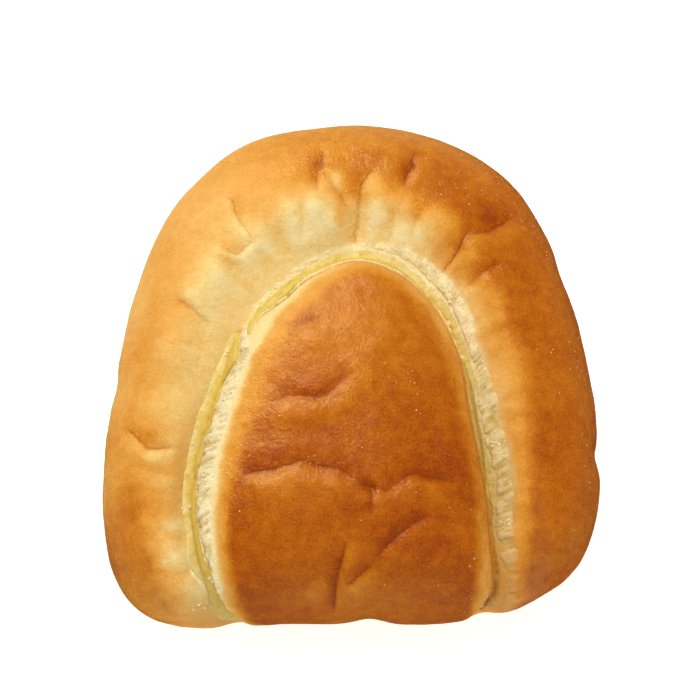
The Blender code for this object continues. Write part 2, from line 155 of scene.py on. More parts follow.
# Dents of the side wall: across and back of the place, half width along the wall, depth
NOTCHES = (
    (54, -22, 3.2, 1.1), (49.5, 21, 4.5, 0.8), (-52.5, -6, 4, 0.7), (-50.5, 20, 5, 0.5), (4, -58, 4.5, 1.3),
    (-25.5, -58, 3.5, 1.4), (29.4, -57.5, 3.5, 2),
)

# How the flap browns: station, where the orange starts and is fully browned, the level before
FLAP_BROWN = (
    (0, 3.5, 8, 0.3), (0.036, 4.3, 8.5, 0.25), (0.093, 5.2, 8.5, 0.12), (0.126, 5.6, 9, 0.08),
    (0.162, 6.7, 10.5, 0.08), (0.198, 7.4, 12, 0.08), (0.252, 7.1, 13.5, 0.08), (0.294, 7.2, 15, 0.08),
    (0.333, 7, 14, 0.08), (0.354, 7.9, 14, 0.1), (0.393, 7.3, 13, 0.12), (0.432, 7, 12, 0.15),
    (0.48, 5.4, 10, 0.28), (0.507, 4.3, 9, 0.4), (0.537, 3.2, 8, 0.46), (0.594, 2.4, 7, 0.48),
    (0.639, 1.5, 6.2, 0.49), (0.687, 1.5, 6.4, 0.54), (0.726, 1.6, 6.6, 0.6), (0.753, 1.8, 6.8, 0.63),
    (0.804, 1.5, 5.6, 0.63), (0.84, 1, 4.8, 0.6), (0.879, 1.3, 5.6, 0.55), (0.903, 2.8, 6.8, 0.48),
    (0.948, 3, 6.6, 0.45), (1, 3, 6, 0.42),
)
# Levels of browning: next to the flap's pale edge, on its middle at the back and the front, and below
FLAP_ORANGE = 0.5
FLAP_BACK_BROWN = 0.78
FLAP_FRONT_BROWN = 0.9
BASE_BROWN = 0.45

# The side wall is paler towards the foot: from which height down to which, and by how much
LOW_FROM = 16 * MM
LOW_TO = 2 * MM
LOW_PALER = 0.2

# How the rim browns: station, where it starts and is fully browned, the level before and after
RIM_BROWN = (
    (0, 3, 8, 0.58, 0.66), (0.05, 3, 8.5, 0.48, 0.66), (0.09, 3.2, 9.5, 0.34, 0.7),
    (0.13, 3.6, 9.5, 0.3, 0.77), (0.17, 3, 12, 0.38, 0.74), (0.22, 3, 14.5, 0.32, 0.65),
    (0.28, 3.8, 17.5, 0.2, 0.58), (0.34, 5, 19, 0.13, 0.54), (0.4, 6.5, 20.5, 0.08, 0.47),
    (0.44, 7.5, 22.5, 0.06, 0.48), (0.48, 7.5, 21.5, 0.09, 0.6), (0.52, 7, 20, 0.09, 0.68),
    (0.56, 6, 17.5, 0.16, 0.75), (0.6, 5.4, 15, 0.24, 0.81), (0.64, 5.2, 14, 0.29, 0.82),
    (0.68, 5, 14, 0.33, 0.83), (0.72, 5, 13.5, 0.35, 0.84), (0.78, 5, 12.5, 0.41, 0.84),
    (0.84, 4.6, 9.8, 0.46, 0.85), (0.9, 4, 7.4, 0.64, 0.86), (1, 3.4, 6.6, 0.64, 0.86),
)

# Painted shade on the wall of the groove on the rim's side: station, how far out in millimetres, strength
GROOVE_SHADE = (
    (0, 6, 0.9), (0.05, 5, 0.8), (0.09, 3.5, 0.45), (0.13, 4.2, 0.7), (0.19, 4.8, 0.85), (0.24, 4.8, 0.85),
    (0.29, 4.4, 0.7), (0.33, 3.6, 0.6), (0.37, 3.6, 0.5), (0.41, 4, 0.3), (0.47, 4.5, 0.35),
    (0.505, 6, 0.5), (0.52, 5, 0.05), (0.6, 4, 0), (1, 4, 0),
)

# How far tongues of brown reach over the pale skin: station, reach in millimetres
TONGUES = ((0, 0.8), (0.3, 1.4), (0.42, 2.4), (0.5, 3.4), (0.62, 3.2), (0.7, 1.2), (1, 0.6))

# Height of the pleats that run out from the seam: station, millimetres
PLEATS = ((0, 0.3), (0.3, 0.55), (0.42, 0.95), (0.62, 0.95), (0.7, 0.45), (1, 0.3))
# How much painted shade darkens a fold's valley, and how much painted light pales its lip and the
# pleats' tops and darkens their hollows, for each millimetre of depth or height
VALLEY_SHADE = 0.14
LIP_HIGHLIGHT = 0.24
PLEAT_LIGHT_AND_SHADE = 0.22

# Places that are more brown (+) or paler (-): across, back, half width, change. Most follow the crust's
# own browning; some paler ones are painted light: the sheen on the flap's upper left, lit lumps and
# lit scallops of the rim's folds, and the lit left side wall.
BROWNING_AND_LIGHT_PATCHES = (
    (30.5, 31, 4, 0.08), (20, 40, 9, 0.07), (-9, 3, 5, -0.03), (-17, -2, 6, -0.04), (18, -16, 8, 0.06),
    (-38, -44, 7, -0.06), (-33, 30, 8, -0.1), (5, -40, 8, 0.04), (0, -22, 9, 0.04), (-8, 42, 3, 0.12),
    (12, 41, 3, 0.14), (24, 21.5, 3, 0.16), (-45, -24, 4, 0.1), (-46, -35, 7, 0.08), (0.2, 36.6, 2.4, 0.12),
    (1, 41, 3.5, 0.05), (-3.3, 38.8, 1.8, -0.2), (4, 38.2, 1.8, -0.24), (5, 30, 3, -0.12),
    (-9, -13, 4, 0.08), (-9.4, 3.6, 2.6, 0.1), (-27, 19.6, 2.2, 0.12), (23, 17, 2.6, 0.16),
    (-8.6, 38.4, 1.4, 0.14), (-6.6, 42.4, 1.4, 0.08), (12.8, 42.6, 1.6, 0.05), (10.4, 26.4, 2.6, -0.14),
    (14.6, 30.6, 2.2, 0.16), (18, 24, 4, 0.14), (-47, 6, 6, -0.04), (20, -30, 9, 0.02), (29, 14, 3, 0.14),
    (26.4, 19.6, 1.6, -0.16), (17, 31, 4, 0.08), (-11, -42, 8, -0.05), (16, -45, 5.5, 0.07),
    (21, -28, 6, 0.03), (-40, 26, 9, 0.05), (26, 36, 9, 0.06), (-32.2, -53.4, 3.2, -0.2),
    (0, -58, 14, -0.08), (44, -45, 10, -0.06), (-40, -54, 9, -0.07), (-42.8, -20.2, 2, 0.16),
    (-42.2, -25, 2, -0.22), (-46.4, -23.4, 1.6, -0.14), (-38.6, -24, 1.8, -0.16), (-54, -10, 7, -0.17),
    (-54, -30, 8, -0.17), (-51, 12, 7, -0.14), (-2.5, 32.9, 1.8, 0.14), (-2.5, 30.5, 1.6, 0.18),
    (-2.4, 28.3, 1.5, 0.12), (4.5, 44, 3.2, 0.13), (-2.6, 37.2, 1.5, -0.14), (3.2, 39.4, 1.6, -0.07),
    (3.2, 34.4, 2, 0.07), (24, -40, 4, -0.06), (19.6, 17.1, 2.6, 0.13), (9.8, 28.6, 3, 0.1),
    (32.4, 10.8, 5, 0.07), (-40.3, 8.8, 6, 0.06), (-23.2, 19.8, 3, -0.1), (-4.7, 28.9, 3, 0.06),
    (-39.6, -41.6, 1.1, -0.16), (-37.8, -40.2, 1.1, -0.2), (-36.2, -39, 1, -0.16), (-41, -48.8, 0.8, -0.14),
    (-39, -48, 0.8, -0.18), (-37, -47, 0.9, -0.18),
)

# The custard ribbons: station, offset of the edge on the flap's side and on the rim's side, height
RIBBONS = {
    "custard_ribbon_left": (
        (0, -2.2, 1, 0.4), (0.036, -3.2, 1, 0.5), (0.072, -3.4, 0.7, 0.6), (0.09, -2.6, 1.3, 0.6),
        (0.108, -2.3, 2.6, 0.7), (0.13, -1.7, 2.4, 0.7), (0.152, -1.7, 1.7, 0.7), (0.17, -1.2, 2.2, 0.8),
        (0.186, -1.4, 2.4, 0.8), (0.207, -0.7, 2.4, 0.8), (0.225, -1.5, 2.4, 0.8), (0.253, -0.9, 2.7, 0.9),
        (0.272, -1.1, 2.8, 0.9), (0.296, -1.3, 2.6, 0.8), (0.312, -0.5, 2.5, 0.8), (0.322, -1.6, 2.4, 0.9),
        (0.332, -2.9, 2.1, 0.9), (0.345, -2.5, 1.8, 0.8), (0.358, -1.2, 1.9, 0.7), (0.372, 0, 1.6, 0.3),
    ),
    "custard_ribbon_top": (
        (0.361, -3.9, -2.7, 0.3), (0.37, -3.9, -1.8, 0.6), (0.381, -2.9, -0.7, 0.7),
        (0.388, -2.8, -0.2, 0.7), (0.397, -3.1, 0.4, 0.8), (0.41, -3.9, 0.4, 0.9), (0.424, -4.3, 0.2, 0.9),
        (0.436, -3.9, 0.8, 0.9), (0.447, -3.6, 1.2, 0.8), (0.462, -3.2, 1.9, 0.7), (0.486, -2.6, 2.1, 0.7),
        (0.512, -2.4, 2.8, 0.6), (0.535, -2.6, 2.7, 0.6), (0.56, -2.6, 2.6, 0.6), (0.585, -1.5, 2.7, 0.5),
        (0.61, -0.3, 2.8, 0.5), (0.633, 0.1, 2.8, 0.5), (0.654, 0, 2.4, 0.5), (0.675, -0.4, 2.2, 0.5),
        (0.702, -1, 1.7, 0.5), (0.722, -1.6, 1.3, 0.5), (0.748, -1.6, 1.1, 0.5), (0.776, -1.4, 1.5, 0.5),
        (0.801, -0.8, 2.3, 0.5), (0.813, -0.4, 2.2, 0.5), (0.837, 0.3, 1.7, 0.5), (0.861, 0.4, 1.6, 0.4),
        (0.88, 0.7, 1.8, 0.3), (0.9, 0.9, 2, 0.3), (0.94, 1.2, 2.3, 0.3), (1, 0.6, 2, 0.2),
    ),
}

# Bands of torn crumb: station, offset of the edge on the flap's side and on the rim's side, height
CRUMB_BANDS = {
    "torn_crumb_left": (
        (0.066, -4.2, -3.4, 0.1), (0.09, -4.4, -2.6, 0.5), (0.108, -4.3, -2.2, 0.6),
        (0.129, -4.7, -1.7, 0.7), (0.15, -5.1, -1.7, 0.8), (0.17, -5.5, -1.2, 0.8),
        (0.186, -5.8, -1.4, 0.9), (0.205, -6, -0.8, 0.9), (0.225, -6.1, -1.5, 1), (0.252, -5.9, -1, 1),
        (0.27, -5.9, -1.1, 1), (0.294, -5.4, -1.3, 0.9), (0.314, -5.1, -0.7, 0.8), (0.33, -5.6, -2.9, 0.7),
        (0.346, -5.6, -2.6, 0.7), (0.358, -4, -1.2, 0.6), (0.374, -1.9, 0.2, 0.5), (0.386, -0.6, 0.8, 0.1),
    ),
    "torn_crumb_top": (
        (0.386, 0, 1.2, 0.1), (0.4, 0.2, 1.7, 0.35), (0.415, 0.1, 1.8, 0.35), (0.432, 0.4, 2.1, 0.35),
        (0.45, 1, 2.5, 0.3), (0.47, 1.6, 3, 0.3), (0.5, 2.3, 3.5, 0.2), (0.53, 2.6, 4, 0.3),
        (0.555, 2.5, 4.8, 0.5), (0.58, 2.6, 5.4, 0.6), (0.6, 2.7, 5.8, 0.7), (0.62, 2.7, 5.7, 0.8),
        (0.642, 2.6, 5.5, 0.8), (0.66, 2.3, 4.8, 0.8), (0.681, 2.1, 4.5, 0.8), (0.705, 1.4, 4.4, 0.9),
        (0.729, 0.8, 5, 0.9), (0.753, 0.6, 4.7, 0.9), (0.78, 1.2, 5.2, 0.9), (0.807, 2.2, 5.2, 0.8),
        (0.82, 2.1, 5.1, 0.8), (0.84, 1.5, 4.9, 0.8), (0.864, 1.3, 4.6, 0.8), (0.88, 1.5, 4.7, 0.7),
        (0.897, 1.8, 4.9, 0.6), (0.92, 2, 4.8, 0.5), (0.954, 2.1, 5, 0.4), (0.99, 1.8, 4.4, 0.1),
    ),
}

# Form of the ribbons: flatness of the crown, fullness, fine lumps, share of the width where it pales
RIBBON_FORM = {"custard_ribbon_left": (2.4, 0.8, 0, 0.5), "custard_ribbon_top": (1.7, 0.65, 0.6, 0.45)}

# How strongly painted shade darkens the custard where it lies deep in the seam: station, share
RIBBON_PAINTED_SHADE = (
    (0, 0.4), (0.1, 0.3), (0.22, 0.15), (0.3, 0), (0.52, 0), (0.6, 0.3), (0.68, 0.6), (0.78, 0.9), (1, 1),
)

# The crack between the torn crumb and the custard, sunk into the crust and darkened with painted shade:
# station, offset, strength
CRACK = (
    (0, -2.2, 0), (0.036, -3.3, 0.5), (0.072, -3.5, 0.5), (0.09, -2.7, 0.5), (0.108, -2.4, 0.7),
    (0.13, -1.8, 0.9), (0.152, -1.8, 0.9), (0.17, -1.3, 0.9), (0.186, -1.5, 0.9), (0.207, -0.8, 0.9),
    (0.225, -1.6, 0.9), (0.253, -1, 0.8), (0.272, -1.2, 0.9), (0.296, -1.4, 0.7), (0.312, -0.6, 0.8),
    (0.322, -1.7, 0.7), (0.332, -3, 0.5), (0.345, -2.6, 0.5), (0.358, -1.3, 0.8), (0.372, 0.2, 1),
    (0.3745, 0.3, 0), (0.376, -3.6, 0), (0.381, -3, 0.3), (0.388, -2.9, 0.4), (0.397, -3.2, 0.7),
    (0.41, -4, 0.9), (0.424, -4.4, 0.9), (0.436, -4, 1), (0.447, -3.7, 0.9), (0.462, -3.3, 0.7),
    (0.486, -2.7, 0.3), (0.512, -2.5, 0.3), (0.56, -2.7, 0.35), (0.61, -0.4, 0.45), (0.642, 0, 0.45),
    (0.675, -0.5, 0.5), (0.722, -1.7, 0.5), (0.748, -1.7, 0.5), (0.776, -1.5, 0.5), (0.801, -0.9, 0.5),
    (0.837, 0.2, 0.5), (0.861, 0.3, 0.5), (0.88, 0.6, 0.6), (0.9, 0.9, 0.8), (0.915, 1.2, 1),
    (0.939, 1.3, 1), (0.96, 1.2, 0.9), (1, 0.6, 0.6),
)
CRACK_DEPTH = 0.7
CRACK_HALF_WIDTH = 0.5

# How uneven the edges are, in millimetres: of the crumb painted on the crust, the ribbons, the bands
TORN_RAGGED = 0.9
RIBBON_RAGGED = 0.3
BAND_RAGGED = 0.4

# How far noise is drawn out across the seam, for pleats and fibres and for browning
FIBRE_SHARE = 0.22
TONGUE_SHARE = 0.3

# Marks that the dough's material reads and that only the crust bears
CRUST_MARKS = ("shade", "matte", "crack_side", "fold", "fold_side")

# Crumbs that stuck in the seam: station, offset, spread, how many, largest half size
CRUMB_CLUSTERS = (
    (0.062, 1.8, 0.7, 9, 0.45), (0.345, 1.2, 0.5, 7, 0.42), (0.425, 0.6, 0.6, 8, 0.4),
    (0.18, 1.9, 0.5, 6, 0.42), (0.3, 1.9, 0.5, 6, 0.42), (0.098, -1.6, 0.5, 7, 0.5),
    (0.245, 2, 0.3, 4, 0.42), (0.262, 1.9, 0.3, 4, 0.42), (0.33, -3.8, 0.4, 5, 0.42),
    (0.205, -3.4, 1, 9, 0.42), (0.29, -3.4, 1, 8, 0.42), (0.155, -3.4, 0.9, 8, 0.42),
    (0.62, 4, 0.8, 8, 0.45), (0.7, 3, 0.8, 8, 0.45), (0.78, 3.4, 0.8, 8, 0.45), (0.86, 3, 0.7, 8, 0.45),
)
CRUMB_FLATNESS = 0.6

# The pale flecks: how many, smallest and largest half size in millimetres, flatness
FLECKS = 260
FLECK_SIZES = (0.09, 0.2)
FLECK_FLATNESS = 0.45

# How finely the pieces are divided
CRUST_SEGMENTS = 560
FLAP_RINGS = 84
FLAP_RING_GRADING = 1.35
RIM_RINGS = 82
RIM_RING_GRADING = 1.25
BASE_RINGS = 3
MERIDIAN_SAMPLES = 240
CURVE_SAMPLES = 900
LATTICE_VALUES = 8192
LATTICE_PRIMES = (73856093, 19349663, 83492791)
FOLD_SAMPLES = 90
CHUNK = 4000
STRIP_STEP = 0.17 * MM
RAY_HEIGHT = 15 * MM

# How deep a strip's underside lies in the dough, and how far its thin edge sinks in millimetres
STRIP_ROOT = 0.9 * MM
STRIP_SINK = 0.2

# Seeds of the noise in the ribbons and in the bands of torn crumb, in the order of their tables
RIBBON_SEEDS = (51, 251)
BAND_SEEDS = (71, 171)

# Studio: half the floor's side in metres, the floor's own light as seen and as mirrored at the back
# left and elsewhere, the room's light as seen and as mirrored, the paper's whites, the white light,
# and the tint of what the crust mirrors
FLOOR_HALF = 3.0
FLOOR_GLOW = 0.66
MIRRORED_BACK_LEFT = 0.8
MIRRORED_ELSEWHERE = 0.06
ROOM_LIGHT = 0.36
ROOM_REFLECTION = 0.05
PAPER_DULL = (0.9, 0.9, 0.9, 1.0)
PAPER_WHITE = (0.92, 0.92, 0.92, 1.0)
WHITE = (1.0, 1.0, 1.0)
SHEEN_TINT = (1.0, 0.87, 0.41)

# Lights: bearing from the back and height in degrees, distance and size in metres, power in watts
LIGHTS = {
    "key": (-24, 62, 0.9, 0.55, 5.9),
    "fill": (150, 45, 1.2, 0.9, 2.4),
    "sheen": (-28, 34, 0.9, 0.58, 8.4),
}

# Camera: the point it looks at, its height above the horizontal, distance, lens and sensor
CAMERA_TARGET = Vector((-0.3, 2.8, 18)) * MM
CAMERA_ELEVATION = math.radians(70)
CAMERA_DISTANCE = 432.1 * MM
CAMERA_LENS = 100
SENSOR_WIDTH = 36


def smooth_step(value):
    """Ease from 0 to 1 as the value goes from 0 to 1."""
    value = np.clip(value, 0.0, 1.0)
    return value * value * (3.0 - 2.0 * value)


def ease(value, start, end):
    """From 0 to 1, smoothly, as the value goes from start to end."""
    return smooth_step((value - start) / (end - start))


def unit(vectors):
    """Vectors of length 1 in the same directions."""
    return vectors / np.maximum(np.linalg.norm(vectors, axis=-1, keepdims=True), 1e-12)


def read_table(table, stations):
    """The columns of a table of stations, read at other stations."""
    rows = np.array(table)
    return [np.interp(stations, rows[:, 0], column) for column in rows[:, 1:].T]


def lattice_noise(points, size, seed):
    """Smooth noise from -1 to 1 whose lumps have about the given size."""
    values = np.random.default_rng(seed).uniform(-1.0, 1.0, LATTICE_VALUES)
    place = np.asarray(points) / size + 100.0
    cell = np.floor(place).astype(np.int64)
    part = smooth_step(place - cell)
    total = np.zeros(place.shape[:-1])
    for corner in np.ndindex(2, 2, 2):
        weight = np.ones(place.shape[:-1])
        key = np.zeros(place.shape[:-1], np.int64)
        for axis, prime in enumerate(LATTICE_PRIMES):
            weight = weight * (part[..., axis] if corner[axis] else 1 - part[..., axis])
            key = key ^ ((cell[..., axis] + corner[axis]) * prime)
        total += weight * values[key % len(values)]
    return total


def layered_noise(points, size, layers, seed):
    """Noise with finer and weaker layers added."""
    total = sum(lattice_noise(points, size / 2 ** k, seed + k) / 2 ** k for k in range(layers))
    return total / sum(0.5 ** k for k in range(layers))


def drawn_out(along, offset, share):
    """Points for noise that is drawn out across the seam, to 1 / share of its size along it."""
    return np.stack((along, offset * MM * share, np.zeros_like(along)), axis=-1)


def round_marks(points, table):
    """Sum of soft round marks: across, back and half width in millimetres, and strength of each."""
    total = np.zeros(len(points))
    for x, y, half_width, strength in table:
        gap = np.hypot(points[:, 0] - x * MM, points[:, 1] - y * MM)
        total += strength * np.exp(-(gap / (half_width * MM)) ** 2)
    return total


def spline(points, samples, closed):
    """Even samples of the smooth curve through the points."""
    points = np.asarray(points, float)
    if closed:
        ring = np.vstack((points[-1], points, points[0], points[1]))
        spans = len(points)
    else:
        ring = np.vstack((2 * points[0] - points[1], points, 2 * points[-1] - points[-2]))
        spans = len(points) - 1
    place = np.linspace(0.0, spans, samples, endpoint=not closed)
    span = np.minimum(place.astype(int), spans - 1)
    t = (place - span)[:, None]
    before, start, end, after = (ring[span + k] for k in range(4))
    return 0.5 * (2 * start + (end - before) * t + (2 * before - 5 * start + 4 * end - after) * t ** 2
                  + (3 * start - before - 3 * end + after) * t ** 3)


def outline_reach(angles):
    """Distance from the hub to the outline at the waist."""
    curve = spline(OUTLINE, CURVE_SAMPLES, closed=True)
    low, high = curve.min(axis=0), curve.max(axis=0)
    away = (curve - (low + high) / 2) / (high - low) * (BUN_WIDTH, BUN_DEPTH) - HUB
    angle = np.arctan2(away[:, 1], away[:, 0])
    return np.interp(angles, angle, np.hypot(away[:, 0], away[:, 1]), period=FULL_TURN)


class Meridians:
    """Lines down the plain bun, before groove and folds: one for each angle, from top to foot."""

    def __init__(self, angles):
        self.angles = angles
        reach = outline_reach(angles)
        turn = np.linspace(0.0, math.pi / 2, MERIDIAN_SAMPLES)
        top_radius = reach[:, None] * np.sin(turn) ** (2 / SHOULDER_EXPONENT)
        top_height = WAIST_HEIGHT + (RIM_HEIGHT - WAIST_HEIGHT) * np.cos(turn)
        low_radius = reach[:, None] - FOOT_INSET * (1 - np.cos(turn[1:]))
        low_height = WAIST_HEIGHT * (1 - np.sin(turn[1:]))
        count = len(angles)
        self.radius = np.hstack((top_radius, low_radius))
        self.height = np.tile(np.concatenate((top_height, low_height)), (count, 1))
        steps = np.hypot(np.diff(self.radius), np.diff(self.height))
        self.length = np.hstack((np.zeros((count, 1)), np.cumsum(steps, axis=1)))

    def at(self, share):
        """Radius, height and outward normal (radial, up) at shares of each line's length."""
        result = []
        for row, length, radius, height in zip(share, self.length, self.radius, self.height):
            lines = (radius, height, -np.gradient(height, length), np.gradient(radius, length))
            result.append([np.interp(row * length[-1], length, line) for line in lines])
        return np.moveaxis(np.array(result), 1, 0)

    def place(self, radius, height, out_shift=0.0, up_shift=0.0):
        """World points of radii and heights on each line."""
        x = HUB[0] + (radius + out_shift) * np.cos(self.angles)[:, None]
        y = HUB[1] + (radius + out_shift) * np.sin(self.angles)[:, None]
        return np.stack((x, y, height + up_shift), axis=-1)


def seam_knots():
    """Angle (falling, from the left foot) and share of the meridian of each point of the seam."""
    plan = np.array([knot[:2] for knot in SEAM]) * MM - HUB
    angle = np.unwrap(np.arctan2(plan[:, 1], plan[:, 0]))
    distance = np.hypot(plan[:, 0], plan[:, 1])
    lines = Meridians(angle)
    top = slice(0, MERIDIAN_SAMPLES)
    length = np.empty(len(SEAM))
    for k, (_, _, height) in enumerate(SEAM):
        if height is None:
            length[k] = np.interp(distance[k], lines.radius[k, top], lines.length[k, top])
        else:
            length[k] = np.interp(-height * MM, -lines.height[k], lines.length[k])
    return angle, length / lines.length[:, -1]


def seam_share(angles):
    """Share of the meridian at which the seam lies, or below the flap's front the line of its feet."""
    curve = spline(np.stack(seam_knots(), axis=-1), CURVE_SAMPLES, closed=False)
    return np.interp(angles, curve[:, 0], curve[:, 1], period=FULL_TURN)


def foot_angles():
    """Angles of the seam's left and right feet, between which lies the front without a seam."""
    feet = np.array((SEAM[0][:2], SEAM[-1][:2])) * MM - HUB
    left, right = np.arctan2(feet[:, 1], feet[:, 0]) % FULL_TURN
    return left, right


class SeamLine:
    """The seam on the plain bun: points, outward normals and the direction across, by station."""

    def __init__(self):
        left, right = foot_angles()
        angles = np.linspace(left, right - FULL_TURN, CURVE_SAMPLES)
        lines = Meridians(angles)
        radius, height, normal_out, normal_up = lines.at(seam_share(angles)[:, None])
        self.points = lines.place(radius, height)[:, 0]
        outward = np.stack((np.cos(angles), np.sin(angles), np.zeros(len(angles))), axis=-1)
        normals = outward * normal_out + np.array((0.0, 0.0, 1.0)) * normal_up
        steps = np.linalg.norm(np.diff(self.points, axis=0), axis=1)
        length = np.concatenate(((0.0,), np.cumsum(steps)))
        self.length = length[-1]
        self.stations = length / self.length
        along = unit(np.gradient(self.points, axis=0))
        self.normals = unit(normals - along * np.sum(normals * along, axis=1, keepdims=True))
        self.across = np.cross(self.normals, along)

    def read(self, values, stations):
        """Values of the line at other stations."""
        return np.stack([np.interp(stations, self.stations, values[:, k]) for k in range(3)], axis=-1)


def nearest_on(line, points):
    """Distance from each point to the line, and the index of the line's nearest point."""
    distance = np.empty(len(points))
    nearest = np.empty(len(points), int)
    for start in range(0, len(points), CHUNK):
        part = slice(start, start + CHUNK)
        gap = np.linalg.norm(points[part, None, :] - line[None, :, :], axis=2)
        nearest[part] = gap.argmin(axis=1)
        distance[part] = gap.min(axis=1)
    return distance, nearest


def round_reach(seam, points):
    """Distance from the seam, rounded off along the flap's middle, where both legs are equally far."""
    middle = len(seam.points) // 2
    left, _ = nearest_on(seam.points[:middle], points)
    right, _ = nearest_on(seam.points[middle:], points)
    blend = np.maximum(1 - np.abs(left - right) / MIDDLE_ROUNDING, 0.0)
    return np.maximum(np.minimum(left, right) - MIDDLE_ROUNDING / 4 * blend ** 2, 0.0)


def groove_depth(distance, station, on_flap):
    """Depth of the groove at distances from the seam."""
    depth, rim_width, flap_width = (column * MM for column in read_table(GROOVE, station))
    on_rim = 1 - smooth_step(distance / rim_width)
    inward = np.clip(1 - distance / flap_width, 0.0, 1.0)
    on_edge = 1 - (1 - inward ** FLAP_EDGE_ROUNDNESS) ** (1 / FLAP_EDGE_ROUNDNESS)
    return depth * np.where(on_flap, on_edge, on_rim)


def fold_relief(points):
    """Height that the folds add, their painted shade in the valleys and painted highlight on the lips,
    and for the fold's fine dark line of painted shade how far it is across (signed, millimetres) and how
    strong."""
    relief, shade_and_highlight, line_side, line_depth = np.zeros((4, len(points)))
    for knots, depth, open_width, steep_width, lip in FOLDS.values():
        line = spline(np.array(knots) * MM, FOLD_SAMPLES, closed=False)
        reach = 4 * open_width * MM
        near = np.flatnonzero(np.all((points[:, :2] > line.min(axis=0) - reach)
                                     & (points[:, :2] < line.max(axis=0) + reach), axis=1))
        some = points[near]
        _, nearest = nearest_on(line, some[:, :2])
        ahead = unit(np.gradient(line, axis=0))[nearest]
        away = some[:, :2] - line[nearest]
        side = (ahead[:, 0] * away[:, 1] - ahead[:, 1] * away[:, 0]) / MM * np.sign(lip)
        wander = 0.2 + 0.15 * steep_width
        side = side + wander * lattice_noise(some, 2.6 * MM, 5) + 0.12 * lattice_noise(some, 0.9 * MM, 6)
        progress = nearest / (FOLD_SAMPLES - 1)
        strength = smooth_step(progress / TAPER) * smooth_step((1 - progress) / TAPER)
        strength = strength * (0.85 + 0.35 * lattice_noise(some, 3.5 * MM, 7))
        beyond = (nearest == 0) | (nearest == FOLD_SAMPLES - 1)
        strength = np.where(beyond, 0.0, strength)
        valley = np.where(side < 0, np.exp(-(np.abs(side) / open_width) ** 1.4),
                          np.exp(-(np.abs(side) / steep_width) ** 1.6))
        top = 1.5 * steep_width
        fall = np.exp(-(np.maximum(side - top, 0) / (top + 0.7)) ** 2)
        crest = smooth_step(side / top) * fall
        relief[near] += MM * strength * (abs(lip) * crest - depth * valley)
        # Painted shade darkens the valley and painted highlight pales the lip
        shaded_valley = VALLEY_SHADE * depth * valley * (side < 0.3)
        shade_and_highlight[near] += strength * (shaded_valley - LIP_HIGHLIGHT * abs(lip) * crest)
        sharp = np.clip((depth - 0.45) / 0.4, 0.0, 1.0)
        stronger = sharp * depth * strength * ease(np.abs(side), LINE_REACH, LINE_FULL)
        chosen = stronger > line_depth[near]
        line_depth[near[chosen]] = stronger[chosen]
        line_side[near[chosen]] = np.clip(side[chosen], -LINE_REACH, LINE_REACH)
    return relief, shade_and_highlight, line_side, line_depth


def pleat_relief(offset, station):
    """Height of the soft pleats that run out from the seam over the pale part of the rim."""
    ridges = layered_noise(drawn_out(station * SEAM_LENGTH, offset, FIBRE_SHARE), 3.6 * MM, 3, 91)
    here = ease(offset, 2, 5) * ease(offset, 20, 11)
    return read_table(PLEATS, station)[0] * MM * ridges * here


def grid_normals(grid):
    """Outward normals of a grid of points that closes round its first axis."""
    around = np.roll(grid, -1, axis=0) - np.roll(grid, 1, axis=0)
    down = np.gradient(grid, axis=1)
    return unit(np.cross(down, around))


def browning(points, offset, station, shade_and_highlight):
    """How brown the crust is, from 0 for pale skin to 1 for dark brown, by offset from the seam, with the
    painted light and shade of patches, folds and pleats added.
    """
    distance = np.abs(offset)
    start, full, before = read_table(FLAP_BROWN, station)
    ragged = layered_noise(points, 2.4 * MM, 3, 21)
    orange = smooth_step((distance - start + 1.7 + 0.5 * ragged) / 2.4)
    deep = smooth_step((distance - start + ragged) / (full - start))
    to_front = ease(points[:, 1], 8 * MM, -42 * MM)
    brownest = FLAP_BACK_BROWN + (FLAP_FRONT_BROWN - FLAP_BACK_BROWN) * to_front
    middle = np.maximum(FLAP_ORANGE, before)
    flap = before + (middle - before) * orange + (brownest - middle) * deep

    start, full, before, after = read_table(RIM_BROWN, station)
    drawn = drawn_out(station * SEAM_LENGTH, offset, TONGUE_SHARE)
    tongue = read_table(TONGUES, station)[0] * layered_noise(drawn, 5 * MM, 3, 31)
    patchy = 0.8 * layered_noise(points, 4 * MM, 3, 35)
    share = (distance + tongue + patchy - start) / (full - start)
    rim = before + (after - before) * 0.5 * (smooth_step(share) + np.clip(share, 0.0, 1.0))
    brown = np.where(offset < 0, flap, rim)
    low = ease(points[:, 2], LOW_FROM, LOW_TO)
    brown = brown - LOW_PALER * low * ease(brown, 0.2, 0.5)
    clouds = 0.07 * layered_noise(points, 9 * MM, 4, 41)
    # Adds patches of browning and of painted light, and the painted shade and highlight of folds and pleats
    return np.clip(brown + round_marks(points, BROWNING_AND_LIGHT_PATCHES) + clouds + shade_and_highlight, 0.0, 1.0)


def crust_angles(count):
    """Angles of the crust's segments, spread along the seam and the outline alike."""
    dense = np.linspace(0.0, FULL_TURN, 4 * CURVE_SAMPLES)
    lines = Meridians(dense)
    radius, height, _, _ = lines.at(seam_share(dense)[:, None])
    total = np.zeros(len(dense))
    for ring in (lines.place(radius, height)[:, 0],
                 lines.place(outline_reach(dense)[:, None], np.zeros((len(dense), 1)))[:, 0]):
        steps = np.linalg.norm(np.diff(ring, axis=0), axis=1)
        length = np.concatenate(((0.0,), np.cumsum(steps)))
        total += length / length[-1] / 2
    return np.interp(np.arange(count) / count, total, dense)


def grid_faces(rows, columns):
    """Quads of a grid that closes round its rows."""
    row, column = np.meshgrid(np.arange(rows), np.arange(columns - 1), indexing="ij")
    after = (row + 1) % rows
    return np.stack((row * columns + column, row * columns + column + 1,
                     after * columns + column + 1, after * columns + column), axis=-1).reshape(-1, 4)


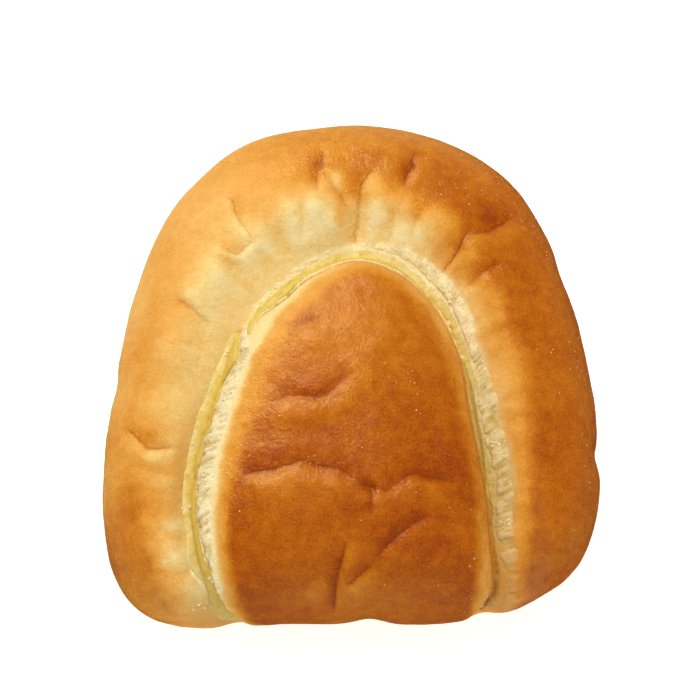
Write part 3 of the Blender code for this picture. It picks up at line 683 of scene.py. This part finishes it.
def new_object(name, data):
    """An object in the scene for some data."""
    made = bpy.data.objects.new(name, data)
    bpy.context.scene.collection.objects.link(made)
    return made


def mesh_object(name, points, faces, paint):
    """An object from points, faces and named values at its points."""
    mesh = bpy.data.meshes.new(name)
    mesh.from_pydata(points.tolist(), [], [tuple(int(k) for k in face) for face in faces])
    for label, values in paint.items():
        layer = mesh.attributes.new(label, "FLOAT", "POINT")
        layer.data.foreach_set("value", np.asarray(values, np.float32))
    mesh.update()
    mesh.shade_smooth()
    return new_object(name, mesh)


def crust_grid(seam, lines, share, on_flap):
    """Points of the crust from the top to the foot, and what its material reads at each of them."""
    radius, height, normal_out, normal_up = lines.at(share)
    plain = lines.place(radius, height).reshape(-1, 3)
    distance, nearest = nearest_on(seam.points, plain)
    station = seam.stations[nearest]
    above = np.clip((height - WAIST_HEIGHT) / (RIM_HEIGHT - WAIST_HEIGHT), 0.0, 1.0)
    depth = groove_depth(distance, station, on_flap).reshape(share.shape)
    swell = np.where(on_flap, smooth_step(round_reach(seam, plain) / SWELL_REACH), 0.0)
    relief, shade_and_highlight, fold_side, fold = fold_relief(plain)
    relief = relief + round_marks(plain, SWELLS) * MM
    up_shift = (swell * FLAP_RISE + relief).reshape(share.shape) * above - depth * normal_up
    dents = (round_marks(plain, NOTCHES) * MM).reshape(share.shape) * (1 - above)
    grid = lines.place(radius, height, -depth * normal_out - dents, up_shift)

    flat = grid.reshape(-1, 3)
    lumps = 0.28 * layered_noise(flat, 9 * MM, 3, 11) + 0.05 * layered_noise(flat, 1.6 * MM, 2, 15)
    lumps = lumps * MM * np.minimum(1.0, height / CALM_FOOT).reshape(-1)
    left, right = foot_angles()
    turn = np.repeat(lines.angles % FULL_TURN, share.shape[1])
    in_front = (turn > left) & (turn < right)
    offset = np.where(on_flap | in_front, -distance, distance) / MM
    crack_side, crack = crack_lines(offset, station, in_front & ~on_flap)
    sunk = CRACK_DEPTH * MM * crack * np.exp(-(crack_side / CRACK_HALF_WIDTH) ** 2)
    pleats = pleat_relief(offset, station)
    lumps = (lumps + pleats - sunk).reshape(share.shape)
    grid = grid + grid_normals(grid) * lumps[..., None]
    grid[:, -1, 2] = 0.0
    grid[..., 2] = np.maximum(grid[..., 2], 0.0)

    # Painted light and shade on the pleats: their tops paler, their hollows more brown
    brown = browning(grid.reshape(-1, 3), offset, station, shade_and_highlight - PLEAT_LIGHT_AND_SHADE * pleats / MM)
    crumb, dim_shade = crumb_paint(offset, station)
    matte = ease(offset, 13, 8) * (offset > 0)
    # shade, dim_shade, crack and fold carry painted shade into the material
    return grid, {"browning": brown, "crumb": crumb, "dim_shade": dim_shade, "shade": wall_shade(offset, station),
                  "matte": matte, "crack_side": crack_side, "crack": crack, "fold_side": fold_side,
                  "fold": fold}


def crust_object(seam):
    """The whole dough as one closed fine body: flap, groove, rim, side wall and flat underside."""
    angles = crust_angles(CRUST_SEGMENTS)
    at_seam = seam_share(angles)[:, None]
    flap_place = np.arange(1, FLAP_RINGS + 1) / FLAP_RINGS
    rim_place = np.arange(1, RIM_RINGS + 1) / RIM_RINGS
    share = np.hstack((at_seam * (1 - (1 - flap_place) ** FLAP_RING_GRADING),
                       at_seam + (1 - at_seam) * rim_place ** RIM_RING_GRADING))
    on_flap = np.tile(np.arange(share.shape[1]) < FLAP_RINGS, len(angles))
    grid, marks = crust_grid(seam, Meridians(angles), share, on_flap)

    foot = grid[:, -1:]
    middle = np.array((*HUB, 0.0))
    inward = np.arange(1, BASE_RINGS + 1)[None, :, None] / (BASE_RINGS + 1)
    points = np.concatenate((grid, foot + (middle - foot) * inward), axis=1)
    columns = points.shape[1]
    count = CRUST_SEGMENTS * columns
    faces = list(grid_faces(CRUST_SEGMENTS, columns))
    for k in range(CRUST_SEGMENTS):
        after = (k + 1) % CRUST_SEGMENTS
        faces.append((count, k * columns, after * columns))
        faces.append((count + 1, (after + 1) * columns - 1, (k + 1) * columns - 1))

    paint = {}
    for label, values in marks.items():
        values = values.reshape(CRUST_SEGMENTS, -1)
        below = BASE_BROWN if label == "browning" else 0.0
        rows = np.hstack((values, np.full((CRUST_SEGMENTS, BASE_RINGS), below)))
        paint[label] = np.concatenate((rows.reshape(-1), (values[:, 0].mean(), below)))
    points = np.vstack((points.reshape(-1, 3), points[:, 0].mean(axis=0), middle))
    return mesh_object("bun_crust", points, faces, paint)


def crack_lines(offset, station, hidden):
    """Signed distance from the crack in millimetres, and the strength of its sunk groove and painted shade.
    """
    middle, strength = read_table(CRACK, station)
    side = np.clip(offset - middle, -LINE_REACH, LINE_REACH)
    near = ease(np.abs(side), LINE_REACH, LINE_FULL)
    return side, np.where(hidden, 0.0, strength * near)


def wall_shade(offset, station):
    """How strongly painted shade dulls the pale skin on the wall of the groove, close to the custard."""
    reach, strength = read_table(GROOVE_SHADE, station)
    return strength * ease(offset, reach + 1.5, reach - 1.5) * ease(offset, 0, 0.5)


def crumb_paint(offset, station):
    """Torn crumb on the crust under and beside the strips of the seam, and the painted shade where it lies
    deep.
    """
    crumb = np.zeros(len(offset))
    drawn = drawn_out(station * SEAM_LENGTH, offset, TONGUE_SHARE)
    ragged = TORN_RAGGED * layered_noise(drawn, 1.6 * MM, 3, 95)
    beyond = 0.9 * ease(station, 0.52, 0.58) * ease(station, 0.92, 0.84)
    gap = 0.2 + 0.8 * ease(station, 0.42, 0.48)
    for name, band in (*CRUMB_BANDS.items(), *RIBBONS.items()):
        low, high, _ = read_table(band, station)
        if name in RIBBONS:
            inside = ease(offset, low + 0.1, low + 0.7) * ease(offset, high + gap, high + gap - 0.5)
        elif name.endswith("left"):
            inside = ease(offset + ragged, low - 0.5, low + 0.7) * ease(offset, high, high - 0.7)
        else:
            end = high + beyond + ragged
            inside = ease(offset, low + 0.1, low + 0.8) * ease(offset, end, end - 1.8)
        first, last = band[0][0], band[-1][0]
        span = ease(station, first, first + 0.02) * ease(station, last, last - 0.02)
        crumb = np.maximum(crumb, inside * span)
    return crumb * torn_share(station), crumb_painted_shade(station)


def torn_share(station):
    """Towards the right foot the crumb browned, and less of it looks torn."""
    return 1 - 0.7 * ease(station, 0.86, 0.94)


def crumb_painted_shade(station):
    """Painted shade on the crumb: darker down the right of the seam, where it lies deeper, and at the left
    foot.
    """
    return np.maximum(ease(station, 0.56, 0.9), 0.8 * ease(station, 0.11, 0.03))


def surface_tree(pieces):
    """The surface of all the pieces, for finding where a line meets it."""
    points, faces = [], []
    for piece in pieces:
        first = len(points)
        points.extend(vertex.co.copy() for vertex in piece.data.vertices)
        faces.extend([first + k for k in face.vertices] for face in piece.data.polygons)
    return BVHTree.FromPolygons(points, faces)


def on_surface(tree, seam, stations, offsets):
    """Points of the crust at stations (rows) and offsets in millimetres (columns of each row)."""
    start = seam.read(seam.points, stations)
    normal = seam.read(seam.normals, stations)
    across = seam.read(seam.across, stations)
    result = np.empty((*offsets.shape, 3))
    for row in range(offsets.shape[0]):
        down = Vector(-normal[row])
        for column in range(offsets.shape[1]):
            place = start[row] + across[row] * offsets[row, column] * MM
            hit = tree.ray_cast(Vector(place + normal[row] * RAY_HEIGHT), down)[0]
            result[row, column] = hit if hit is not None else place
    return result


def strip_normals(grid):
    """Upward normals of an open strip of points."""
    along = np.gradient(grid, axis=0)
    across = np.gradient(grid, axis=1)
    return unit(np.cross(along, across))


def strip_grid(tree, seam, table, ragged, seed):
    """Stations, offsets, share of the width, heights and surface points of a strip with ragged edges."""
    first, last = table[0][0], table[-1][0]
    count = int((last - first) * seam.length / STRIP_STEP)
    stations = np.linspace(first, last, count)
    low, high, height = read_table(table, stations)
    line = drawn_out(stations * seam.length, np.zeros(count), 1.0)
    low = low + ragged * layered_noise(line, 1.8 * MM, 3, seed)
    high = high + ragged * layered_noise(line, 1.8 * MM, 3, seed + 7)
    columns = max(6, int(np.median(high - low) * MM / STRIP_STEP))
    place = np.linspace(0.0, 1.0, columns)[None, :]
    offsets = low[:, None] + (high - low)[:, None] * place
    return stations[:, None], offsets, place, height[:, None], on_surface(tree, seam, stations, offsets)


def raised(base, lift):
    """Points of a strip raised from the crust by a lift in millimetres, less what its edges sink."""
    return base + strip_normals(base) * ((lift - STRIP_SINK) * MM)[..., None]


def closed_strip(name, base, top, paint):
    """A strip closed by an underside that lies inside the dough."""
    rows, columns, _ = top.shape
    under = (base - strip_normals(base) * STRIP_ROOT)[:, ::-1]
    loop = np.concatenate((top, under), axis=1)
    width = 2 * columns
    row, column = np.meshgrid(np.arange(rows - 1), np.arange(width), indexing="ij")
    after = (column + 1) % width
    faces = np.stack((row * width + column, (row + 1) * width + column,
                      (row + 1) * width + after, row * width + after), axis=-1).reshape(-1, 4)
    faces = [tuple(face) for face in faces]
    faces.append(tuple(range(width)))
    faces.append(tuple(reversed(range((rows - 1) * width, rows * width))))
    doubled = {}
    for label, values in paint.items():
        values = np.broadcast_to(values, (rows, columns))
        doubled[label] = np.concatenate((values, values[:, ::-1]), axis=1).reshape(-1)
    return mesh_object(name, loop.reshape(-1, 3), faces, doubled)


def strip_ends(stations, count):
    """From 0 at both ends of a strip to 1 after some rows."""
    row = np.arange(len(stations))
    return smooth_step(np.minimum(row, row[::-1]) / count)[:, None]


def ribbon_object(name, tree, seam, table, seed):
    """The custard that shows in the seam: a soft uneven ribbon with a sunk inner edge."""
    stations, _, place, height, base = strip_grid(tree, seam, table, RIBBON_RAGGED, seed)
    flatness, fullness, fine_lumps, pale_from = RIBBON_FORM[name]
    crown = (1 - np.abs(2 * place - 1) ** flatness) ** 0.8
    lumps = 0.22 * layered_noise(base, 3.4 * MM, 2, seed + 10)
    lumps = lumps + 0.05 * layered_noise(base, 0.9 * MM, 2, seed + 14)
    lumps = lumps + fine_lumps * layered_noise(base, 0.8 * MM, 2, seed + 16)
    lip = np.exp(-((place - 0.86) / 0.09) ** 2)
    torn = ease(layered_noise(base, 3.2 * MM, 2, seed + 20), -0.35, 0.35)
    lift = fullness * height * crown * (1 + lumps) + 0.06 * lip * torn
    right = ease(stations, 0.5, 0.6)
    pale = ease(place + 0.2 * right, pale_from, pale_from + 0.4) * (0.35 + 0.65 * np.maximum(torn, right))
    # Painted shade along the ribbon's inner edge at the crack
    crack = ease(place, 0.16, 0) * read_table(CRACK, stations)[1]
    # deep: painted shade in the custard towards its inner edge, by the crack
    paint = {"pale": pale, "crack": crack, "deep": ease(place, 0.5, 0),
             "dim_shade": read_table(RIBBON_PAINTED_SHADE, stations)[0]}
    return closed_strip(name, base, raised(base, lift * strip_ends(stations, 8)), paint)


def crumb_object(name, tree, seam, table, seed):
    """A band of torn crumb: soft fibres pulled across the seam, with pits where the gluten tore."""
    stations, offsets, place, height, base = strip_grid(tree, seam, table, BAND_RAGGED, seed)
    side = -1 if name.endswith("left") else 1
    from_crack = place if side > 0 else 1 - place
    crown = (1 - np.abs(2 * from_crack ** 0.7 - 1) ** 2) ** 0.8
    slant = stations * seam.length + 0.5 * offsets * MM
    fibres = layered_noise(drawn_out(slant, offsets, FIBRE_SHARE), 1 * MM, 3, seed + 20)
    knots = layered_noise(base, 2.4 * MM, 2, seed + 30)
    pits = ease(lattice_noise(base, 0.6 * MM, seed + 40), -0.42, -0.82)
    pits = pits * (1 - 0.8 * np.abs(2 * place - 1))
    rough = 0.8 * fibres + 0.5 * knots - 0.15 * pits
    top = raised(base, height * crown * (0.75 + rough) * strip_ends(stations, 20))
    rows = np.repeat(stations, offsets.shape[1])
    brown = browning(top.reshape(-1, 3), side * np.abs(offsets).reshape(-1), rows, 0.0)
    crumb, _ = crumb_paint(offsets.reshape(-1), rows)
    crumb = np.maximum(crumb.reshape(offsets.shape), (from_crack < 0.6) * torn_share(stations))
    # Painted shade at the crack and in the pits of the crumb
    crack = 0.8 * ease(from_crack, 0.14, 0) * read_table(CRACK, stations)[1] + 0.12 * pits
    # Painted shade: crumb that lies deep, and the hollows between the fibres, are darkened
    dim_shade = 0.7 * crumb_painted_shade(stations) + 0.6 * ease(rough, 0.1, -0.4)
    paint = {"browning": brown.reshape(offsets.shape), "crumb": crumb, "crack": np.clip(crack, 0.0, 1.0),
             "dim_shade": np.clip(dim_shade, 0.0, 1.0), **dict.fromkeys(CRUST_MARKS, 0.0)}
    return closed_strip(name, base, top, paint)


def scattered(name, places, normals, sizes, flatness, paint):
    """Small rounded grains lying on the crust as one mesh."""
    grain = bmesh.new()
    bmesh.ops.create_icosphere(grain, subdivisions=1, radius=1.0)
    grain.verts.ensure_lookup_table()
    shape = np.array([vert.co for vert in grain.verts])
    faces = np.array([[vert.index for vert in face.verts] for face in grain.faces])
    grain.free()
    random = np.random.default_rng(len(places))
    points, all_faces = [], []
    for k, (place, normal, size) in enumerate(zip(places, normals, sizes)):
        turn = Vector(normal).to_track_quat("Z", "Y") @ Quaternion((0, 0, 1), random.uniform(0, FULL_TURN))
        scale = np.array((random.uniform(0.7, 1.4), random.uniform(0.6, 1.0), flatness)) * size
        uneven = shape * scale * random.uniform(0.8, 1.2, (len(shape), 1))
        points.append(uneven @ np.array(turn.to_matrix()).T + place)
        all_faces.append(faces + k * len(shape))
    count = len(places) * len(shape)
    values = {label: np.full(count, value) for label, value in paint.items()}
    return mesh_object(name, np.vstack(points), np.vstack(all_faces), values)


def crust_flecks(crust):
    """Tiny pale flecks of flour and sugar, baked onto the top of the crust."""
    random = np.random.default_rng(301)
    mesh = crust.data
    count = len(mesh.vertices)
    points, normals, brown = np.empty(count * 3), np.empty(count * 3), np.empty(count, np.float32)
    mesh.vertices.foreach_get("co", points)
    mesh.vertex_normals.foreach_get("vector", normals)
    mesh.attributes["browning"].data.foreach_get("value", brown)
    points, normals = points.reshape(-1, 3), normals.reshape(-1, 3)
    clusters = layered_noise(points, 12 * MM, 2, 303)
    likely = (normals[:, 2] > 0.1) * (points[:, 2] > 6 * MM) * np.clip(0.35 + clusters, 0.05, 1.0) ** 2
    likely = likely * np.clip(brown - 0.3, 0.0, 0.4) * (0.6 + ease(points[:, 0], 0, 30 * MM))
    # The mesh's points lie closer together near the hub
    spacing = np.hypot(points[:, 0] - HUB[0], points[:, 1] - HUB[1])
    on_flap = (np.abs(points[:, 0]) < 24 * MM) & (points[:, 1] < 14 * MM)
    likely = likely * spacing * np.where(on_flap, 0.35, 1.0)
    chosen = random.choice(count, FLECKS, replace=False, p=likely / likely.sum())
    sizes = random.uniform(*FLECK_SIZES, FLECKS) * MM
    return scattered("crust_flecks", points[chosen], normals[chosen], sizes, FLECK_FLATNESS, {})


def loose_crumbs(tree, seam):
    """Crumbs that stuck along the torn seam."""
    random = np.random.default_rng(401)
    stations, offsets, sizes = [], [], []
    for station, offset, spread, count, largest in CRUMB_CLUSTERS:
        stations.append(station + random.normal(0.0, spread * MM / SEAM_LENGTH, count))
        offsets.append(offset + random.normal(0.0, spread, count))
        sizes.append(random.uniform(0.4, 1.0, count) * largest)
    stations, offsets = np.concatenate(stations), np.concatenate(offsets)
    places = on_surface(tree, seam, stations, offsets[:, None])[:, 0]
    normals = seam.read(seam.normals, stations)
    sizes = np.concatenate(sizes) * MM
    places = places + normals * (sizes * 0.1)[:, None]
    paint = {"browning": 0.1, "crumb": 1.0, **dict.fromkeys(("crack", "dim_shade", *CRUST_MARKS), 0.0)}
    return scattered("loose_crumbs", places, normals, sizes, CRUMB_FLATNESS, paint)


class Nodes:
    """Short calls for building a material's nodes."""

    def __init__(self, name):
        self.material = bpy.data.materials.new(name)
        self.material.use_nodes = True
        self.tree = self.material.node_tree
        self.shader = self.tree.nodes["Principled BSDF"]

    def link(self, source, target):
        """Join two sockets."""
        self.tree.links.new(source, target)

    def node(self, kind, **settings):
        """A new node with its settings."""
        made = self.tree.nodes.new(kind)
        for key, value in settings.items():
            setattr(made, key, value)
        return made

    def feed(self, socket, value):
        """Set a socket to a number or colour, or link it to another."""
        if isinstance(value, bpy.types.NodeSocket):
            self.link(value, socket)
        else:
            socket.default_value = value

    def surface(self, values):
        """Set or link the shader's sockets."""
        for name, value in values.items():
            self.feed(self.shader.inputs[name], value)

    def value(self, name):
        """A named value of the mesh's points."""
        return self.node("ShaderNodeAttribute", attribute_name=name).outputs["Fac"]

    def maths(self, operation, first, second=0.0, clamp=False):
        """The result of a Math node."""
        made = self.node("ShaderNodeMath", operation=operation, use_clamp=clamp)
        self.feed(made.inputs[0], first)
        self.feed(made.inputs[1], second)
        return made.outputs[0]

    def times(self, first, second, clamp=False):
        """The product of two values."""
        return self.maths("MULTIPLY", first, second, clamp)

    def spread(self, value, low, high, to_low=0.0, to_high=1.0):
        """A value mapped from one range to another, smoothly and within its limits."""
        made = self.node("ShaderNodeMapRange", interpolation_type="SMOOTHSTEP")
        for socket, number in zip(made.inputs, (value, low, high, to_low, to_high)):
            self.feed(socket, number)
        return made.outputs["Result"]

    def noise(self, size, detail=2.0, roughness=0.5, stretch=(1.0, 1.0, 1.0)):
        """Noise whose lumps have about the given size in metres."""
        place = self.node("ShaderNodeTexCoord").outputs["Object"]
        mapping = self.node("ShaderNodeMapping")
        self.link(place, mapping.inputs["Vector"])
        mapping.inputs["Scale"].default_value = stretch
        made = self.node("ShaderNodeTexNoise")
        self.link(mapping.outputs["Vector"], made.inputs["Vector"])
        made.inputs["Scale"].default_value = 1 / size
        made.inputs["Detail"].default_value = detail
        made.inputs["Roughness"].default_value = roughness
        return made.outputs["Fac"]

    def spots(self, size, share, radius):
        """Round spots: 1 inside, in a share of the cells of the given size."""
        place = self.node("ShaderNodeTexCoord").outputs["Object"]
        made = self.node("ShaderNodeTexVoronoi")
        self.link(place, made.inputs["Vector"])
        made.inputs["Scale"].default_value = 1 / size
        chosen = self.node("ShaderNodeSeparateColor")
        self.link(made.outputs["Color"], chosen.inputs[0])
        picked = self.maths("LESS_THAN", chosen.outputs[0], share)
        return self.times(picked, self.spread(made.outputs["Distance"], radius, radius * 0.5))

    def mix(self, factor, first, second, kind="RGBA"):
        """Mix of two colours, or of two numbers if the kind is FLOAT."""
        made = self.node("ShaderNodeMix", data_type=kind)
        start, result = (6, 2) if kind == "RGBA" else (2, 0)
        for socket, value in zip((0, start, start + 1), (factor, first, second)):
            self.feed(made.inputs[socket], value)
        return made.outputs[result]

    def ramp(self, factor, stops):
        """Colour by a factor."""
        made = self.node("ShaderNodeValToRGB")
        elements = made.color_ramp.elements
        while len(elements) < len(stops):
            elements.new(1.0)
        for element, (position, colour) in zip(elements, stops):
            element.position = position
            element.color = colour
        self.link(factor, made.inputs[0])
        return made.outputs[0]

    def relief(self, *layers):
        """Bumps laid over one another, each a height field and its height in millimetres."""
        normal = None
        for field, height in layers:
            made = self.node("ShaderNodeBump")
            made.inputs["Distance"].default_value = height * MM
            self.link(field, made.inputs["Height"])
            if normal is not None:
                self.link(normal, made.inputs["Normal"])
            normal = made.outputs["Normal"]
        return normal


def colour(red, green, blue):
    """Linear colour of screen values from 0 to 255."""
    def linear(value):
        value = value / 255
        return value / 12.92 if value <= 0.04045 else ((value + 0.055) / 1.055) ** 2.4
    return (linear(red), linear(green), linear(blue), 1.0)


# Colours of the crust from pale skin to dark brown
CRUST_STOPS = (
    (0.00, colour(254, 232, 170)), (0.15, colour(250, 217, 142)), (0.30, colour(242, 192, 106)),
    (0.45, colour(234, 168, 78)), (0.60, colour(224, 146, 42)), (0.72, colour(208, 122, 20)),
    (0.85, colour(190, 97, 5)), (0.94, colour(172, 78, 3)), (1.00, colour(156, 64, 2)),
)
CRUMB_PALE = colour(252, 237, 188)
CRUMB_SHADE = colour(234, 205, 138)
CRUMB_PAINTED_SHADE = colour(206, 172, 98)
CRACK_SHADE_COLOUR = colour(160, 112, 26)
# Colour of the painted shade on the groove's wall
WALL_SHADE_COLOUR = colour(186, 148, 76)
FOLD_SHADE_ON_PALE = colour(206, 146, 72)
FOLD_SHADE_ON_BROWN = colour(142, 58, 6)
SPOT_PALE = colour(240, 186, 112)
SPECK_DARK = colour(112, 58, 16)
FLECK_COLOUR = colour(252, 226, 176)
CUSTARD_LIGHT = colour(236, 210, 112)
CUSTARD_DEEP = colour(218, 184, 76)
CUSTARD_CRACK_SHADE = colour(160, 116, 26)
CUSTARD_SKIN = colour(242, 224, 160)
LINE_HALF_WIDTH = 0.26


def fine_line(made, label):
    """A fine wandering line: 1 where the signed distance is 0, faded with its strength."""
    wander = made.spread(made.noise(0.9 * MM), 0.0, 1.0, -0.35, 0.35)
    gap = made.maths("ADD", made.value(label + "_side"), wander)
    near = made.spread(made.maths("ABSOLUTE", gap), 0.0, 2 * LINE_HALF_WIDTH, 1.0, 0.0)
    return made.times(near, made.value(label), clamp=True)


def dough_material(name):
    """Baked dough: browned crust with fine grain and blisters, pale skin, torn crumb, cracks, and painted
    shade on the groove's wall, in the folds and cracks and on deep-lying crumb.
    """
    made = Nodes(name)
    grain = made.noise(0.42 * MM, 3, 0.65)
    mottle = made.noise(2.6 * MM, 4, 0.6)
    brown = made.maths("ADD", made.value("browning"), made.spread(grain, 0.25, 0.75, -0.075, 0.075))
    brown = made.maths("ADD", brown, made.spread(mottle, 0.25, 0.75, -0.05, 0.05), clamp=True)
    # The shade mark mixes painted shade into the skin on the groove's wall
    skin = made.mix(made.times(made.value("shade"), 0.5), made.ramp(brown, CRUST_STOPS), WALL_SHADE_COLOUR)
    spots = made.spots(1.3 * MM, 0.16, 0.12)
    skin = made.mix(made.times(spots, 0.5), skin, SPOT_PALE)
    skin = made.mix(made.times(made.spots(4.3 * MM, 0.1, 0.035), 0.7), skin, SPECK_DARK)
    fold = fine_line(made, "fold")
    # The fold's fine dark line is painted shade, paler over pale skin
    fold_shade_colour = made.mix(made.spread(brown, 0.3, 0.7), FOLD_SHADE_ON_PALE, FOLD_SHADE_ON_BROWN)
    skin = made.mix(made.times(fold, made.spread(brown, 0.0, 0.5, 0.22, 0.62)), skin, fold_shade_colour)

    crumb, dim_shade = made.value("crumb"), made.value("dim_shade")
    pores = made.noise(0.42 * MM, 3, 0.6)
    # dim_shade mixes painted shade into the torn crumb
    torn = made.mix(made.spread(pores, 0.32, 0.58), made.mix(dim_shade, CRUMB_SHADE, CRUMB_PAINTED_SHADE),
                    made.mix(dim_shade, CRUMB_PALE, CRUMB_PAINTED_SHADE))
    base = made.mix(crumb, skin, torn)
    # Painted shade along the crack's fine line
    base = made.mix(made.times(fine_line(made, "crack"), 0.8), base, CRACK_SHADE_COLOUR)

    matte = made.times(made.value("matte"), 0.28)
    matte = made.maths("MAXIMUM", made.spread(brown, 0.25, 0.6, 0.2, 0.0), matte)
    gloss = made.maths("ADD", made.spread(mottle, 0.2, 0.8, 0.21, 0.29), matte)
    ridges = made.maths("ABSOLUTE", made.maths("SUBTRACT", made.noise(1.1 * MM, 3), 0.5))
    specular = "Specular IOR Level"
    made.shader.inputs[specular].default_value = 0.3
    made.surface({
        "Base Color": base,
        "Roughness": made.mix(crumb, gloss, 0.85, "FLOAT"),
        "Normal": made.relief((made.noise(3.4 * MM, 3), 0.42), (ridges, 0.2), (grain, 0.07), (spots, 0.06),
                              (made.times(fold, -1), 0.12), (pores, 0.04)),
        specular: made.spread(brown, 0.4, 0.78, 0.1, 0.4),
        "Subsurface Weight": 0.08,
        "Subsurface Scale": 1 * MM,
        "Subsurface Radius": (1.0, 0.5, 0.2),
    })
    return made.material


def custard_material(name):
    """Set custard: smooth moist yellow, paler where it dried at its outer lip, with painted shade towards
    its inner edge, along its crack and where it lies deep in the seam.
    """
    made = Nodes(name)
    cloud = made.noise(1.6 * MM, 4, 0.6)
    dim_shade = made.value("dim_shade")
    body = made.mix(made.spread(cloud, 0.3, 0.7), CUSTARD_DEEP, CUSTARD_LIGHT)
    # deep mixes painted shade into the custard towards its inner edge
    body = made.mix(made.times(made.value("deep"), 0.6), body, CUSTARD_DEEP)
    dried = made.times(made.value("pale"), made.spread(made.noise(0.7 * MM, 3), 0.15, 0.6))
    dried = made.times(dried, made.spread(dim_shade, 0.0, 1.0, 0.85, 0.35))
    body = made.mix(dried, body, CUSTARD_SKIN)
    # Painted shade in the custard along the crack
    body = made.mix(made.times(made.value("crack"), 0.8), body, CUSTARD_CRACK_SHADE)
    made.surface({
        # dim_shade mixes painted shade into the custard where it lies deep in the seam
        "Base Color": made.mix(made.times(dim_shade, 0.6), body, CUSTARD_CRACK_SHADE),
        "Roughness": made.spread(cloud, 0.2, 0.8, 0.4, 0.6),
        "Normal": made.relief((made.noise(1.1 * MM, 3), 0.2), (made.noise(0.35 * MM), 0.06)),
        "Specular IOR Level": 0.4,
        "Subsurface Weight": 0.15,
        "Subsurface Scale": 1.2 * MM,
        "Subsurface Radius": (1.0, 0.7, 0.3),
    })
    return made.material


def fleck_material(name):
    """Pale dull flecks."""
    made = Nodes(name)
    made.surface({
        "Base Color": made.mix(made.spread(made.noise(3 * MM), 0.3, 0.7), FLECK_COLOUR, SPOT_PALE),
        "Normal": made.relief((made.noise(0.1 * MM), 0.02)),
        "Roughness": 0.6,
    })
    return made.material


def paper_material(name):
    """White paper that the crust mirrors only at the back left, in the sheen's tint."""
    made = Nodes(name)
    mirrored = made.node("ShaderNodeLightPath").outputs["Is Glossy Ray"]
    place = made.node("ShaderNodeSeparateXYZ")
    made.link(made.node("ShaderNodeTexCoord").outputs["Object"], place.inputs[0])
    back_left = made.maths("SUBTRACT", place.outputs["Y"], place.outputs["X"])
    behind = made.spread(back_left, 0.0, 120 * MM, MIRRORED_ELSEWHERE, MIRRORED_BACK_LEFT)
    white = made.mix(made.noise(20 * MM), PAPER_DULL, PAPER_WHITE)
    made.surface({
        "Base Color": made.mix(mirrored, white, (0.0, 0.0, 0.0, 1.0)),
        "Roughness": 0.9,
        "Specular IOR Level": 0.0,
        "Emission Color": made.mix(mirrored, (*WHITE, 1.0), (*SHEEN_TINT, 1.0)),
        "Emission Strength": made.mix(mirrored, FLOOR_GLOW, behind, "FLOAT"),
    })
    return made.material


def dress(piece, material):
    """Give a piece its material and join it to the bun."""
    piece.data.materials.clear()
    piece.data.materials.append(material)
    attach(piece, "root")


def area_light(name, bearing, elevation, distance, size, power):
    """A square soft light that looks at the bun. The sheen shows only in what the crust mirrors."""
    sheen = name == "sheen"
    data = bpy.data.lights.new(name, "AREA")
    data.size = size
    data.energy = power
    data.color = SHEEN_TINT if sheen else WHITE
    light = new_object(name, data)
    light.visible_glossy = sheen
    light.visible_diffuse = not sheen
    bearing, elevation = math.radians(bearing), math.radians(elevation)
    level = math.cos(elevation) * distance
    light.location = (level * math.sin(bearing), level * math.cos(bearing), math.sin(elevation) * distance)
    light.rotation_euler = (-light.location).to_track_quat("-Z", "Y").to_euler()


def room():
    """Pale surroundings, dark and tinted where the crust mirrors them."""
    world = bpy.data.worlds.new("studio")
    world.use_nodes = True
    tree = world.node_tree
    level = tree.nodes.new("ShaderNodeMix")
    level.data_type = "RGBA"
    level.inputs[6].default_value = (ROOM_LIGHT, ROOM_LIGHT, ROOM_LIGHT, 1.0)
    level.inputs[7].default_value = (*(ROOM_REFLECTION * part for part in SHEEN_TINT), 1.0)
    path = tree.nodes.new("ShaderNodeLightPath")
    tree.links.new(path.outputs["Is Glossy Ray"], level.inputs["Factor"])
    tree.links.new(level.outputs[2], tree.nodes["Background"].inputs["Color"])
    bpy.context.scene.world = world


def studio():
    """White floor, pale surroundings, and soft light from the back left."""
    corners = [(x * FLOOR_HALF, y * FLOOR_HALF, 0) for x, y in ((-1, -1), (1, -1), (1, 1), (-1, 1))]
    floor = mesh_object("floor", np.array(corners), [(0, 1, 2, 3)], {})
    floor.data.materials.append(paper_material("white_paper"))
    room()
    for name, light in LIGHTS.items():
        area_light(name, *light)
    bpy.context.scene.view_settings.view_transform = "Standard"


def camera():
    """The camera at the photograph's angle."""
    data = bpy.data.cameras.new("camera")
    data.lens = CAMERA_LENS
    data.sensor_width = SENSOR_WIDTH
    made = new_object("camera", data)
    back = Vector((0, -math.cos(CAMERA_ELEVATION), math.sin(CAMERA_ELEVATION)))
    made.location = CAMERA_TARGET + back * CAMERA_DISTANCE
    made.rotation_euler = back.to_track_quat("Z", "Y").to_euler()
    bpy.context.scene.camera = made


def main():
    """Build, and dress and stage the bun."""
    seam = SeamLine()
    camera()
    studio()
    dough = dough_material("baked_dough")
    custard = custard_material("set_custard")
    flecks = fleck_material("pale_flecks")

    crust = crust_object(seam)
    dress(crust, dough)
    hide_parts("bun")
    tree = surface_tree([crust])
    laid = [crust]
    for seed, (name, table) in zip(RIBBON_SEEDS, RIBBONS.items()):
        ribbon = ribbon_object(name, tree, seam, table, seed)
        dress(ribbon, custard)
        laid.append(ribbon)
        if name.endswith("top"):
            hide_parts("custard")
    for seed, (name, table) in zip(BAND_SEEDS, CRUMB_BANDS.items()):
        band = crumb_object(name, tree, seam, table, seed)
        dress(band, dough)
        laid.append(band)
    dress(crust_flecks(crust), flecks)
    dress(loose_crumbs(surface_tree(laid), seam), dough)


main()
